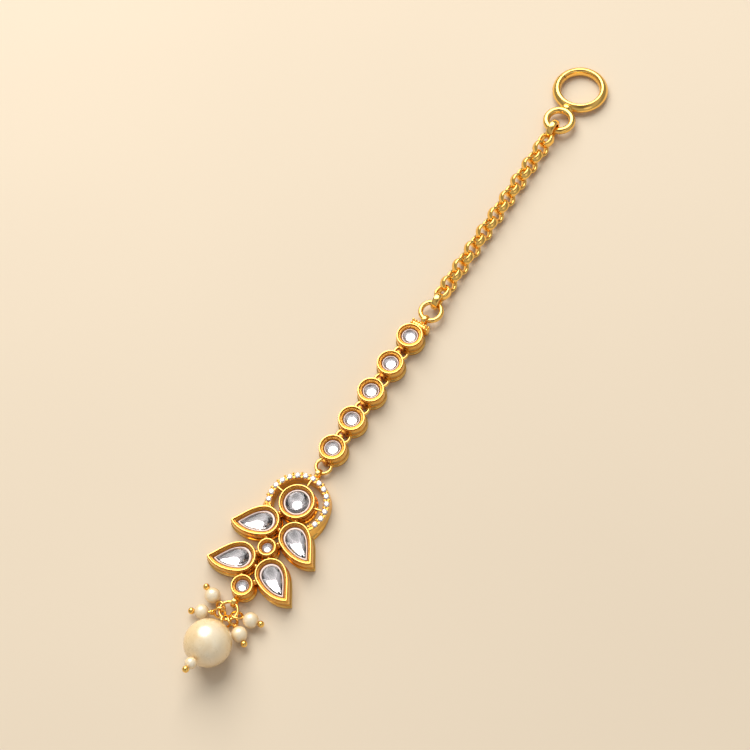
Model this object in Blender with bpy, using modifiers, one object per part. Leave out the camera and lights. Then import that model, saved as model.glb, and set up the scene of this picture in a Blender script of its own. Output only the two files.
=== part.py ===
# Maang tikka: a forehead jewel of gold-plated brass, foil-backed glass and pearls, lying flat.
# +Y runs from the pendant to the end ring, +Z is up, and the origin is on the flat back of the round setting.

import math

import bmesh
import bpy
from mathutils import Matrix, Vector

MM = 0.001

# Settings: heights above the flat back, and offsets from the line of the rim.
RIM_TOP = 3.10 * MM
RIM_ROOT = 2.74 * MM
RIM_HALF_WIDTH = 0.10 * MM
LEDGE_HEIGHT = 2.50 * MM
POCKET_FLOOR = 1.50 * MM
BULGE_HEIGHT = 1.90 * MM
BULGE = 0.27 * MM
GROOVE_HEIGHT = 0.66 * MM
GROOVE = 0.18 * MM
FLANGE_HEIGHT = 0.42 * MM
FLANGE = 0.45 * MM

# Stones: what clears the setting, and the height of the girdle, the shoulder and the table.
STONE_FIT = 0.06 * MM
STONE_SEAT = POCKET_FLOOR + STONE_FIT
GIRDLE_HEIGHT = 2.42 * MM
SHOULDER_HEIGHT = 2.78 * MM
TABLE_HEIGHT = 2.94 * MM
SHOULDER_SHARE = 0.74
TABLE_SHARE = 0.40

# Pendant: the round setting, two tiers of leaves and a small round setting below each tier.
ROUND_RIM = 2.95 * MM
ROUND_STONE = 2.35 * MM
LEAF_X = 3.05 * MM
LEAF_Y = -5.60 * MM
LEAF_TIER = 7.38 * MM
MID_RIM = 1.43 * MM
MID_STONE = 0.88 * MM
MID_DROP = 3.78 * MM
MID_Y = LEAF_Y - MID_DROP
LOW_RIM = 1.72 * MM
LOW_STONE = 1.08 * MM
LOW_DROP = 4.07 * MM
LOW_Y = LEAF_Y - LEAF_TIER - LOW_DROP

# A leaf is a round end and two curved sides that meet at its tip.
LEAF_END = 2.50 * MM
LEAF_TIP = Vector((4.90, -2.58)) * MM
LEAF_ROUND_FROM = math.radians(62)
LEAF_ROUND_TO = math.radians(238)
LEAF_OUTER_PULL = 2.05 * MM
LEAF_OUTER_ARRIVAL = math.radians(-57)
LEAF_OUTER_TIP_PULL = 2.20 * MM
LEAF_LOWER_PULL = 2.30 * MM
LEAF_LOWER_ARRIVAL = math.radians(35)
LEAF_LOWER_TIP_PULL = 1.90 * MM
LEAF_LEDGE = 0.60 * MM
LEAF_FLARE = 0.12 * MM

# Arch of small stones round the top of the round setting.
ARCH_LINE = 5.05 * MM
ARCH_BASE_HALF = 0.68 * MM
ARCH_TOP_HALF = 0.55 * MM
ARCH_TOP = 2.16 * MM
ARCH_END = math.radians(-36)
ARCH_SPREAD = 1.00 * MM
ARCH_SPREAD_FROM = math.radians(10)
PAVE_COUNT = 15
PAVE_FIRST = math.radians(-21)
PAVE_RADIUS = 0.46 * MM
PAVE_GIRDLE = 2.22 * MM
PAVE_CROWN = 0.20 * MM
PAVE_PAVILION = 0.44 * MM
PAVE_TABLE_SHARE = 0.56
PAVE_FIT = 0.04 * MM
BAR_ANGLES = (math.radians(9), math.radians(90), math.radians(171))
BAR_WIDTH = 0.34 * MM
BAR_DEPTH = 0.50 * MM
BAR_HEIGHT = 2.35 * MM
SOLDER_RADIUS = 0.46 * MM
SOLDER_HEIGHT = 1.90 * MM
SOLDER_SINK = 0.27 * MM

# Loops of flat strip, standing upright at the top and the bottom of the pendant.
LOOP_HOLE = 0.68 * MM
LOOP_WALL = 0.32 * MM
LOOP_WIDTH = 0.72 * MM
LOOP_HEIGHT = LOOP_HOLE + LOOP_WALL + 0.02 * MM
LOOP_SINK = 0.26 * MM
TOP_LOOP_Y = ARCH_LINE + ARCH_BASE_HALF + LOOP_HOLE + LOOP_WALL - LOOP_SINK
LOW_LOOP_Y = LOW_Y - LOW_RIM - BULGE - LOOP_HOLE - LOOP_WALL + LOOP_SINK

# Stations of the forehead string.
STATION_COUNT = 5
STATION_PITCH = 6.26 * MM
STATION_FIRST_Y = 11.46 * MM
STATION_LEAN = 0.04 * MM
STATION_RIM = 2.20 * MM
STATION_STONE = 1.48 * MM

# Rings that link the stations lie level, in undercuts, and each passes behind a post.
JOINT_WIRE = 0.50 * MM
JOINT_LINE = 1.20 * MM
JOINT_HEIGHT = 1.00 * MM
JOINT_FIT = 0.06 * MM
POST_DEPTH = 0.62 * MM
POST_WIDTH = 0.48 * MM
PENDANT_RING_WIRE = 0.52 * MM
PENDANT_RING_LINE = 1.34 * MM

# Cap bar of the topmost station.
CAP_WIDTH = 3.50 * MM
CAP_DEPTH = 1.25 * MM
CAP_BASE = 0.30 * MM
CAP_TOP = 2.50 * MM
CAP_SHIFT = 0.30 * MM
CAP_SINK = 0.25 * MM
CAP_LOOP_HOLE = 0.72 * MM
CAP_LOOP_WALL = 0.38 * MM
CAP_LOOP_WIDTH = 0.80 * MM
CAP_LOOP_HEIGHT = 1.65 * MM

# Jump ring between the cap's loop and the chain.
JUMP_WIRE = 0.76 * MM
JUMP_LINE = 1.87 * MM
JUMP_HANG = 0.29 * MM
JUMP_HEIGHT = 1.60 * MM

# Belcher chain: round links of wide half-round band; the last one, at the end ring, is larger.
CHAIN_THICK = 0.58 * MM
CHAIN_WIDE = 1.06 * MM
CHAIN_LINE = 1.31 * MM
CHAIN_LINKS = 21
CHAIN_TILT = math.radians(45)
CHAIN_SECOND_TILT = math.radians(30)
CHAIN_END_TILT = math.radians(88)
CHAIN_END_LINE = 1.63 * MM
CHAIN_START_Y = 45.20 * MM
CHAIN_LENGTH = 42.01 * MM
CHAIN_END_Y = CHAIN_START_Y + CHAIN_LENGTH
# Route of the chain's axis, chosen by hand: share of its length, x and height.
CHAIN_ROUTE = (
    (0.000, 1.15, 1.68),
    (0.050, 1.10, 1.52),
    (0.100, 1.09, 1.40),
    (0.233, 1.18, 1.38),
    (0.471, 1.43, 1.38),
    (0.709, 1.58, 1.38),
    (0.886, 1.70, 1.42),
    (0.938, 1.75, 1.60),
    (1.000, 1.78, 1.99),
)

# End ring: a large split ring soldered to a small one, tilted a little where the chain lifts it.
END_LINE = 4.45 * MM
END_WIRE = 1.72 * MM
END_X = 1.77 * MM
SMALL_LINE = 2.42 * MM
SMALL_WIRE = 1.20 * MM
SMALL_X = 1.74 * MM
SMALL_HANG = 2.78 * MM
SMALL_Y = CHAIN_END_Y + SMALL_HANG
SOLDER_GAP = 0.05 * MM
END_Y = SMALL_Y + SMALL_LINE + (SMALL_WIRE + END_WIRE) / 2 + END_LINE + SOLDER_GAP
END_FAR_HEIGHT = 0.88 * MM
END_NEAR_HEIGHT = 1.55 * MM
SPLIT_ANGLE = math.radians(172)
SPLIT_WIDTH = 0.22 * MM
SPLIT_LEAN = math.radians(35)
END_SOLDER = 0.85 * MM

# Drops: a thin ring through the bottom loop, with five eyes on it.
DROP_RING_WIRE = 0.32 * MM
DROP_RING_LINE = 1.55 * MM
DROP_RING_SIDE = -0.04 * MM
DROP_RING_HANG = 1.78 * MM
DROP_RING_HEIGHT = 1.22 * MM
DROP_RING_CENTRE = Vector((DROP_RING_SIDE, LOW_LOOP_Y - DROP_RING_HANG, DROP_RING_HEIGHT))
PIN_WIRE = 0.32 * MM
PIN_EYE_LINE = 0.76 * MM
PIN_BALL = 0.58 * MM
PIN_EYE_TILT = math.radians(28)
BEAD_HOLE = 0.25 * MM
BEAD_GAP = 0.06 * MM
LARGE_PEARL = 4.00 * MM
LARGE_PEARL_SIDE = 0.93 * MM
LARGE_PEARL_HANG = 6.64 * MM
LARGE_PIN_RISE = math.radians(28.5)
LARGE_PIN_TURN = math.radians(-86.7)
LARGE_EYE_LINE = 0.90 * MM
LARGE_STEM = 0.41 * MM
BELOW_PEARL = 1.00 * MM
# Small drops: name, pearl's radius, its centre in x and y from the drop ring's, where on the ring its
# eye hangs, in degrees, and how far the eye's centre is from there.
SMALL_DROPS = (
    ("a", 1.33, -3.79, 0.84, 187, 0.16),
    ("b", 1.22, -3.90, -2.39, 222, 0.15),
    ("d", 1.38, 3.87, -2.47, -34, 0.25),
    ("e", 1.37, 4.20, 0.46, -2, 0.23),
)

# Facets of the meshed rounds.
ROUND_STEPS = 26
STATION_STEPS = 16
SMALL_STEPS = 16
LEAF_ARC_STEPS = 10
LEAF_SIDE_STEPS = 5
RING_STEPS = 12
WIRE_SIDES = 6
END_RING_STEPS = 24
END_WIRE_SIDES = 8
CHAIN_STEPS = 10
EYE_STEPS = 10
PEARL_STEPS = 10
LARGE_PEARL_STEPS = 16
LOOP_STEPS = 12

MERGE = 1e-7
UP = Vector((0, 0, 1))


def clear_scene():
    for obj in list(bpy.data.objects):
        bpy.data.objects.remove(obj, do_unlink=True)


def new_collection(name):
    collection = bpy.data.collections.new(name)
    bpy.context.scene.collection.children.link(collection)
    return collection


def new_material(name, colour, roughness, metallic):
    material = bpy.data.materials.new(name)
    material.use_nodes = True
    shader = material.node_tree.nodes["Principled BSDF"]
    shader.inputs["Base Color"].default_value = (*colour, 1)
    shader.inputs["Roughness"].default_value = roughness
    shader.inputs["Metallic"].default_value = metallic
    return material


clear_scene()
JEWEL = new_collection("maang_tikka")
TOOLS = new_collection("maang_tikka_cutters")
GOLD = ("gold_plate", (0.86, 0.56, 0.18), 0.18, 1.0)
KUNDAN = ("kundan_glass", (0.86, 0.85, 0.87), 0.05, 0.0)
CRYSTAL = ("crystal", (0.93, 0.93, 0.96), 0.03, 0.0)
PEARL = ("pearl", (0.84, 0.76, 0.60), 0.22, 0.0)


def place(name, mesh, collection, matrix=None):
    """An object of this mesh, in this collection."""
    obj = bpy.data.objects.new(name, mesh)
    collection.objects.link(obj)
    if matrix is not None:
        obj.matrix_world = matrix
    if collection is TOOLS:
        obj.hide_render = True
        obj.display_type = "WIRE"
    return obj


def mesh_of(name, bm):
    bmesh.ops.recalc_face_normals(bm, faces=bm.faces)
    mesh = bpy.data.meshes.new(name)
    bm.to_mesh(mesh)
    bm.free()
    return mesh


def baked(obj):
    """The object's evaluated mesh, with its modifiers applied and its doubles merged."""
    bpy.context.view_layer.update()
    graph = bpy.context.evaluated_depsgraph_get()
    mesh = bpy.data.meshes.new_from_object(obj.evaluated_get(graph))
    bm = bmesh.new()
    bm.from_mesh(mesh)
    bmesh.ops.remove_doubles(bm, verts=bm.verts, dist=MERGE)
    bm.to_mesh(mesh)
    bm.free()
    bpy.data.objects.remove(obj, do_unlink=True)
    return mesh


def finish(name, mesh, look, matrix=None):
    """A node of the jewel: its object, its material and its smooth shading."""
    obj = place(name, mesh, JEWEL, matrix)
    material = bpy.data.materials.get(look[0]) or new_material(*look)
    mesh.materials.clear()
    mesh.materials.append(material)
    mesh.shade_smooth()
    mesh.set_sharp_from_angle(angle=math.radians(40))
    return obj


def fused(name, mesh, added, removed=()):
    """One mesh of a first body, the bodies that are soldered to it and the holes cut through them."""
    body = place(name, mesh, TOOLS)
    for operation, meshes in (("UNION", added), ("DIFFERENCE", removed)):
        if not meshes:
            continue
        pieces = bpy.data.collections.new(f"{name}_{operation.lower()}")
        TOOLS.children.link(pieces)
        for piece in meshes:
            tool = bpy.data.objects.new(f"{name}_{operation.lower()}_piece", piece)
            tool.hide_render = True
            tool.display_type = "WIRE"
            pieces.objects.link(tool)
        modifier = body.modifiers.new(operation.title(), "BOOLEAN")
        modifier.operation = operation
        modifier.operand_type = "COLLECTION"
        modifier.collection = pieces
        modifier.solver = "EXACT"
    return baked(body)


def moved(mesh, matrix):
    copy = mesh.copy()
    copy.transform(matrix)
    return copy


def turned(name, profile, steps):
    """A profile of (radius, height) points turned round Z; it runs down the outer side."""
    mesh = bpy.data.meshes.new(name)
    points = [(radius, 0, height) for radius, height in profile]
    edges = [(i, i + 1) for i in range(len(points) - 1)]
    mesh.from_pydata(points, edges, [])
    obj = place(name, mesh, TOOLS)
    screw = obj.modifiers.new("Turn", "SCREW")
    screw.steps = screw.render_steps = steps
    screw.use_merge_vertices = True
    screw.merge_threshold = MERGE
    return baked(obj)


def torus(name, line, wire, steps, sides, matrix=None):
    """A round ring of round wire: the radius of its centre line and the wire's diameter."""
    bpy.ops.mesh.primitive_torus_add(
        major_radius=line,
        minor_radius=wire / 2,
        major_segments=steps,
        minor_segments=sides,
    )
    obj = bpy.context.object
    mesh = obj.data
    mesh.name = name
    bpy.data.objects.remove(obj, do_unlink=True)
    if matrix is not None:
        mesh.transform(matrix)
    return mesh


def ball(name, radius, centre, across=8, high=6):
    bm = bmesh.new()
    bmesh.ops.create_uvsphere(bm, u_segments=across, v_segments=high, radius=radius)
    bmesh.ops.translate(bm, vec=centre, verts=bm.verts)
    return mesh_of(name, bm)


def cylinder(name, radius, length, matrix, sides, top_radius=None):
    """A cylinder or a cone centred on the matrix's origin, along its Z."""
    bm = bmesh.new()
    bmesh.ops.create_cone(
        bm,
        cap_ends=True,
        segments=sides,
        radius1=radius,
        radius2=radius if top_radius is None else top_radius,
        depth=length,
        matrix=matrix,
    )
    return mesh_of(name, bm)


def block(name, size, matrix):
    bm = bmesh.new()
    bmesh.ops.create_cube(bm, size=1)
    bmesh.ops.scale(bm, vec=size, verts=bm.verts)
    bmesh.ops.transform(bm, matrix=matrix, verts=bm.verts)
    return mesh_of(name, bm)


def lofted(name, rings):
    """A closed body through rings of as many points, the first and last closed by flat faces."""
    bm = bmesh.new()
    rows = [[bm.verts.new(point) for point in ring] for ring in rings]
    count = len(rows[0])
    for lower, upper in zip(rows, rows[1:]):
        for i in range(count):
            j = (i + 1) % count
            bm.faces.new((lower[i], lower[j], upper[j], upper[i]))
    bm.faces.new(rows[0])
    bm.faces.new(rows[-1])
    return mesh_of(name, bm)


def bezier(start, start_pull, end_pull, end, steps):
    """Points of a cubic curve, its last one left out."""
    found = []
    for i in range(steps):
        t = i / steps
        s = 1 - t
        found.append(
            start * s**3
            + start_pull * (3 * s * s * t)
            + end_pull * (3 * s * t * t)
            + end * t**3
        )
    return found


def leaf_outline():
    """The leaf's rim line round its round end's centre, counter-clockwise from the tip."""

    def on_end(angle):
        return Vector((math.cos(angle), math.sin(angle))) * LEAF_END

    def heading(angle):
        return Vector((math.cos(angle), math.sin(angle)))

    start, stop = on_end(LEAF_ROUND_FROM), on_end(LEAF_ROUND_TO)
    along_start = heading(LEAF_ROUND_FROM - math.pi / 2)
    along_stop = heading(LEAF_ROUND_TO + math.pi / 2)
    outer = bezier(
        LEAF_TIP,
        LEAF_TIP - heading(LEAF_OUTER_ARRIVAL) * LEAF_OUTER_TIP_PULL,
        start + along_start * LEAF_OUTER_PULL,
        start,
        LEAF_SIDE_STEPS,
    )
    sweep = LEAF_ROUND_TO - LEAF_ROUND_FROM
    arc = [on_end(LEAF_ROUND_FROM + sweep * i / LEAF_ARC_STEPS) for i in range(LEAF_ARC_STEPS)]
    lower = bezier(
        stop,
        stop + along_stop * LEAF_LOWER_PULL,
        LEAF_TIP - heading(LEAF_LOWER_ARRIVAL) * LEAF_LOWER_TIP_PULL,
        LEAF_TIP,
        LEAF_SIDE_STEPS,
    )
    return outer + arc + lower


def offset(outline, distance, flare=0.0):
    """The outline moved outwards by a distance, and by a flare that grows towards the leaf's tip."""
    count = len(outline)
    reach = LEAF_TIP.length
    found = []
    for i, point in enumerate(outline):
        before = (point - outline[i - 1]).normalized()
        after = (outline[(i + 1) % count] - point).normalized()
        across = (before + after).normalized()
        normal = Vector((across.y, -across.x))
        miter = max(normal.dot(Vector((after.y, -after.x))), 0.5)
        share = max(point.dot(LEAF_TIP) / reach**2, 0) ** 2
        found.append(point + normal * ((distance + flare * share) / miter))
    return found


def level(outline, height):
    return [(point.x, point.y, height) for point in outline]


def bezel_section(rim, stone):
    """Half the section of a round setting, from the floor of its pocket over the rim to its back."""
    pocket = stone + STONE_FIT
    return [
        (0, POCKET_FLOOR),
        (pocket, POCKET_FLOOR),
        (pocket, LEDGE_HEIGHT),
        (rim - RIM_HALF_WIDTH, RIM_ROOT),
        (rim, RIM_TOP),
        (rim + RIM_HALF_WIDTH, RIM_ROOT),
        (rim + BULGE, BULGE_HEIGHT),
        (rim + GROOVE, GROOVE_HEIGHT),
        (rim + FLANGE, FLANGE_HEIGHT),
        (rim + FLANGE, 0),
        (0, 0),
    ]


def leaf_bezel():
    """A leaf's setting, with its flared wall, in the place of the upper right one."""
    line = leaf_outline()
    pocket = STONE_FIT - LEAF_LEDGE
    rings = [
        level(offset(line, pocket), POCKET_FLOOR),
        level(offset(line, pocket), LEDGE_HEIGHT),
        level(offset(line, -RIM_HALF_WIDTH), RIM_ROOT),
        level(line, RIM_TOP),
        level(offset(line, RIM_HALF_WIDTH, LEAF_FLARE / 6), RIM_ROOT),
        level(offset(line, BULGE, LEAF_FLARE * 2 / 3), BULGE_HEIGHT),
        level(offset(line, GROOVE, LEAF_FLARE * 4 / 5), GROOVE_HEIGHT),
        level(offset(line, FLANGE, LEAF_FLARE * 2 / 3), FLANGE_HEIGHT),
        level(offset(line, FLANGE, LEAF_FLARE * 2 / 3), 0),
    ]
    return lofted("leaf_bezel", rings)


def leaf_stone():
    line = leaf_outline()
    rim = offset(line, -LEAF_LEDGE)
    centre = sum(rim, Vector((0, 0))) / len(rim)

    def drawn_in(share):
        return [centre + (point - centre) * share for point in rim]

    rings = [
        level(rim, STONE_SEAT),
        level(rim, GIRDLE_HEIGHT),
        level(drawn_in(SHOULDER_SHARE), SHOULDER_HEIGHT),
        level(drawn_in(TABLE_SHARE), TABLE_HEIGHT),
    ]
    return lofted("leaf_stone", rings)


def round_stone(name, radius, steps):
    section = [
        (0, TABLE_HEIGHT),
        (radius * TABLE_SHARE, TABLE_HEIGHT),
        (radius * SHOULDER_SHARE, SHOULDER_HEIGHT),
        (radius, GIRDLE_HEIGHT),
        (radius, STONE_SEAT),
        (0, STONE_SEAT),
    ]
    return turned(name, section, steps)


def strip_loop(name, hole, wall, width, centre):
    """A loop of flat strip that stands upright, its axis along X."""
    half = width / 2
    section = [(hole, half), (hole + wall, half), (hole + wall, -half), (hole, -half), (hole, half)]
    mesh = turned(name, section, LOOP_STEPS)
    mesh.transform(Matrix.Translation(centre) @ Matrix.Rotation(math.pi / 2, 4, "Y"))
    return mesh


def polar(radius, angle, height=0.0):
    return Vector((radius * math.cos(angle), radius * math.sin(angle), height))


def pave_angles():
    sweep = math.pi - 2 * PAVE_FIRST
    return [PAVE_FIRST + sweep * i / (PAVE_COUNT - 1) for i in range(PAVE_COUNT)]


def leaf_places():
    """Each leaf's name, its tier's drop and whether it is mirrored."""
    for tier, row in enumerate(("upper", "lower")):
        for side in ("right", "left"):
            yield f"{row}_{side}", -LEAF_TIER * tier, side == "left"


def leaf_matrix(drop, mirrored):
    place_right = Matrix.Translation((LEAF_X, LEAF_Y + drop, 0))
    return Matrix.Scale(-1, 4, (1, 0, 0)) @ place_right if mirrored else place_right


def in_leaf_place(mesh, drop, mirrored):
    copy = moved(mesh, leaf_matrix(drop, mirrored))
    if mirrored:
        copy.flip_normals()
    return copy


def arch_body():
    """The horseshoe band that holds the small stones; its foot spreads towards both ends."""
    sweep = math.pi - 2 * ARCH_END
    steps = PAVE_COUNT + 7
    section = [
        (ARCH_LINE - ARCH_BASE_HALF, 0),
        (ARCH_LINE + ARCH_BASE_HALF, 0),
        (ARCH_LINE + ARCH_TOP_HALF, ARCH_TOP),
        (ARCH_LINE - ARCH_TOP_HALF, ARCH_TOP),
    ]
    rings = []
    for i in range(steps + 1):
        angle = ARCH_END + sweep * i / steps
        past = max(ARCH_SPREAD_FROM - angle, angle - math.pi + ARCH_SPREAD_FROM, 0)
        spread = ARCH_SPREAD * (past / (ARCH_SPREAD_FROM - ARCH_END)) ** 1.5
        foot = polar(ARCH_LINE + ARCH_BASE_HALF + spread, angle)
        ring = [polar(radius, angle, height) for radius, height in section]
        rings.append([ring[0], foot, ring[2], ring[3]])
    return lofted("arch", rings)


def pave_seats():
    """The conical seats of the small stones, cut through the band's top."""
    deep = PAVE_PAVILION + PAVE_FIT
    high = 3 * PAVE_FIT
    wide = (PAVE_RADIUS + PAVE_FIT) * (deep + high) / deep
    seats = []
    for angle in pave_angles():
        tip = polar(ARCH_LINE, angle, PAVE_GIRDLE - deep)
        spot = Matrix.Translation(tip + UP * (deep + high) / 2) @ Matrix.Rotation(angle, 4, "Z")
        seats.append(cylinder("seat", 0.05 * MM, deep + high, spot, 8, wide))
    return seats


def pave_stone():
    """A brilliant: a table, eight crown facets, a girdle and eight facets down to the culet."""
    table = PAVE_RADIUS * PAVE_TABLE_SHARE
    section = [
        (0, PAVE_CROWN),
        (table, PAVE_CROWN),
        (PAVE_RADIUS, 0),
        (0, -PAVE_PAVILION),
    ]
    return turned("pave_stone", section, 8)


def solder_points():
    """Drops of solder where neighbouring settings come closest."""
    upper = [(Vector((side * LEAF_X, LEAF_Y)), LEAF_END) for side in (1, -1)]
    lower = [(Vector((side * LEAF_X, LEAF_Y - LEAF_TIER)), LEAF_END) for side in (1, -1)]
    top = (Vector((0, 0)), ROUND_RIM)
    mid = (Vector((0, MID_Y)), MID_RIM)
    low = (Vector((0, LOW_Y)), LOW_RIM)
    pairs = [(upper[0], upper[1]), (lower[0], lower[1])]
    for leaf in upper:
        pairs += [(top, leaf), (mid, leaf)]
    for leaf in lower:
        pairs += [(mid, leaf), (low, leaf)]
    points = []
    for (first, first_radius), (second, second_radius) in pairs:
        way = (second - first).normalized()
        start, stop = first + way * first_radius, second - way * second_radius
        half = (stop - start).dot(way) / 2 - BULGE + SOLDER_SINK
        spot = Matrix.Translation(((start + stop) / 2).to_3d() + UP * SOLDER_HEIGHT)
        spot @= Matrix.Rotation(math.atan2(way.y, way.x), 4, "Z")
        spot @= Matrix.Diagonal((half / SOLDER_RADIUS, 1, 1.5, 1))
        points.append(moved(ball("solder", SOLDER_RADIUS, Vector((0, 0, 0))), spot))
    return points


def bars():
    """Short bars from the round setting to the arch."""
    inner, outer = ROUND_RIM + RIM_HALF_WIDTH, ARCH_LINE - ARCH_TOP_HALF + BAR_WIDTH / 2
    found = []
    for angle in BAR_ANGLES:
        spot = Matrix.Translation(polar((inner + outer) / 2, angle, BAR_HEIGHT))
        size = (outer - inner, BAR_WIDTH, BAR_DEPTH)
        found.append(block("bar", size, spot @ Matrix.Rotation(angle, 4, "Z")))
    return found


def pendant_frame():
    """All the soldered metal of the pendant as one body."""
    whole = turned("round_bezel", bezel_section(ROUND_RIM, ROUND_STONE), ROUND_STEPS)
    added = [
        moved(turned("mid_bezel", bezel_section(MID_RIM, MID_STONE), SMALL_STEPS),
              Matrix.Translation((0, MID_Y, 0))),
        moved(turned("low_bezel", bezel_section(LOW_RIM, LOW_STONE), SMALL_STEPS),
              Matrix.Translation((0, LOW_Y, 0))),
    ]
    for y in (TOP_LOOP_Y, LOW_LOOP_Y):
        added.append(strip_loop("loop", LOOP_HOLE, LOOP_WALL, LOOP_WIDTH, Vector((0, y, LOOP_HEIGHT))))
    leaf = leaf_bezel()
    added += [in_leaf_place(leaf, drop, mirrored) for _, drop, mirrored in leaf_places()]
    added += [arch_body()] + bars() + solder_points()
    finish("pendant_frame", fused("frame", whole, added, pave_seats()), GOLD)


def pendant_stones():
    finish("round_stone", round_stone("round_stone", ROUND_STONE, ROUND_STEPS - 8), KUNDAN)
    mid = round_stone("mid_stone", MID_STONE, SMALL_STEPS - 4)
    finish("mid_stone", mid, KUNDAN, Matrix.Translation((0, MID_Y, 0)))
    low = round_stone("low_stone", LOW_STONE, SMALL_STEPS - 4)
    finish("low_stone", low, KUNDAN, Matrix.Translation((0, LOW_Y, 0)))
    leaf = leaf_stone()
    for name, drop, mirrored in leaf_places():
        finish(f"leaf_stone_{name}", in_leaf_place(leaf, drop, mirrored), KUNDAN)


def pave_stones():
    stone = pave_stone()
    for number, angle in enumerate(pave_angles(), 1):
        spot = Matrix.Translation(polar(ARCH_LINE, angle, PAVE_GIRDLE)) @ Matrix.Rotation(angle, 4, "Z")
        finish(f"pave_stone_{number:02d}", stone, CRYSTAL, spot)


def station_point(k):
    """The centre of a station, counted up from the pendant; the string leans a little."""
    return Vector((STATION_LEAN * k * k, STATION_FIRST_Y + STATION_PITCH * k, 0))


def station_place(k):
    turn = -math.atan2(2 * STATION_LEAN * k, STATION_PITCH)
    return Matrix.Translation(station_point(k)) @ Matrix.Rotation(turn, 4, "Z")


def hole_edge():
    """How far from a station's centre the hole of a ring in its undercut begins."""
    return STATION_PITCH / 2 - JOINT_LINE + JOINT_WIRE / 2


def undercut(line, wire, side):
    """The disc of space that a level ring takes out of a station's wall."""
    centre = Vector((0, side * (hole_edge() + line - wire / 2), JOINT_HEIGHT))
    return cylinder(
        "undercut",
        line + wire / 2 + JOINT_FIT,
        wire + 2 * JOINT_FIT,
        Matrix.Translation(centre),
        RING_STEPS + 6,
    )


def station_bezel(lower_ring, upper_ring):
    """A station's setting with an undercut and a post at each end that holds a ring."""
    section = bezel_section(STATION_RIM, STATION_STONE)
    whole = turned("station_bezel", section, STATION_STEPS)
    ends = [(ring, side) for ring, side in ((lower_ring, -1), (upper_ring, 1)) if ring]
    whole = fused("undercut_bezel", whole, [], [undercut(*ring, side) for ring, side in ends])
    near = hole_edge() + 2 * JOINT_FIT
    foot, head = FLANGE_HEIGHT / 2, BULGE_HEIGHT + JOINT_WIRE
    posts = []
    for _, side in ends:
        centre = Vector((0, side * (near + POST_DEPTH / 2), (foot + head) / 2))
        posts.append(block("post", (POST_WIDTH, POST_DEPTH, head - foot), Matrix.Translation(centre)))
    return fused("posted_bezel", whole, posts)


def cap_loop_centre():
    reach = STATION_RIM + BULGE - CAP_SINK + CAP_DEPTH + CAP_LOOP_HOLE + CAP_LOOP_WALL - LOOP_SINK
    return Vector((CAP_SHIFT, reach, CAP_LOOP_HEIGHT))


def cap_pieces():
    """The bar behind the topmost station, with its upright loop."""
    front = STATION_RIM + BULGE - CAP_SINK
    middle = Vector((CAP_SHIFT, front + CAP_DEPTH / 2, 0))
    body = middle + UP * (CAP_BASE + CAP_TOP) / 2
    pieces = [block("cap", (CAP_WIDTH, CAP_DEPTH, CAP_TOP - CAP_BASE), Matrix.Translation(body))]
    pieces.append(strip_loop("cap_loop", CAP_LOOP_HOLE, CAP_LOOP_WALL, CAP_LOOP_WIDTH, cap_loop_centre()))
    return pieces


def stations():
    joint = (JOINT_LINE, JOINT_WIRE)
    last = (PENDANT_RING_LINE, PENDANT_RING_WIRE)
    plain = station_bezel(joint, joint)
    lowest = station_bezel(last, joint)
    topmost = fused("capped_bezel", station_bezel(joint, None), cap_pieces())
    stone = round_stone("station_stone", STATION_STONE, SMALL_STEPS)
    ring = torus("joint_ring", JOINT_LINE, JOINT_WIRE, RING_STEPS, WIRE_SIDES)
    for k in range(STATION_COUNT):
        number = STATION_COUNT - k
        bezel = lowest if k == 0 else topmost if number == 1 else plain
        spot = station_place(k)
        finish(f"station_bezel_{number}", bezel, GOLD, spot)
        finish(f"station_stone_{number}", stone, KUNDAN, spot)
    for k in range(STATION_COUNT - 1):
        middle = (station_point(k) + station_point(k + 1)) / 2 + UP * JOINT_HEIGHT
        finish(f"joint_ring_{STATION_COUNT - 1 - k}", ring, GOLD, Matrix.Translation(middle))


def pendant_ring():
    reach = hole_edge() + PENDANT_RING_LINE - PENDANT_RING_WIRE / 2
    centre = station_point(0) + Vector((0, -reach, JOINT_HEIGHT))
    ring = torus("pendant_ring", PENDANT_RING_LINE, PENDANT_RING_WIRE, RING_STEPS + 2, WIRE_SIDES)
    finish("pendant_ring", ring, GOLD, Matrix.Translation(centre))


def jump_ring():
    ring = torus("top_jump_ring", JUMP_LINE, JUMP_WIRE, RING_STEPS + 4, WIRE_SIDES)
    centre = station_place(STATION_COUNT - 1) @ cap_loop_centre()
    centre += Vector((0, JUMP_LINE + JUMP_HANG, JUMP_HEIGHT - centre.z))
    finish("top_jump_ring", ring, GOLD, Matrix.Translation(centre))


def along_route(points, share):
    """A point at this share of the way along a chain of straight runs."""
    runs = [(b - a).length for a, b in zip(points, points[1:])]
    left = share * sum(runs)
    for start, stop, run in zip(points, points[1:], runs):
        if left <= run:
            return start.lerp(stop, left / run)
        left -= run
    return points[-1]


def chain_link(line, matrix):
    """A round link of half-round band: its flat side is inside."""
    inner, outer, half = line - CHAIN_THICK / 2, line + CHAIN_THICK / 2, CHAIN_WIDE / 2
    upper, lower = (inner, 0.75 * half), (inner, -0.75 * half)
    section = [upper, (line, half), (outer, 0), (line, -half), lower, upper]
    mesh = turned("link", section, CHAIN_STEPS)
    mesh.transform(matrix)
    return mesh


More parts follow.
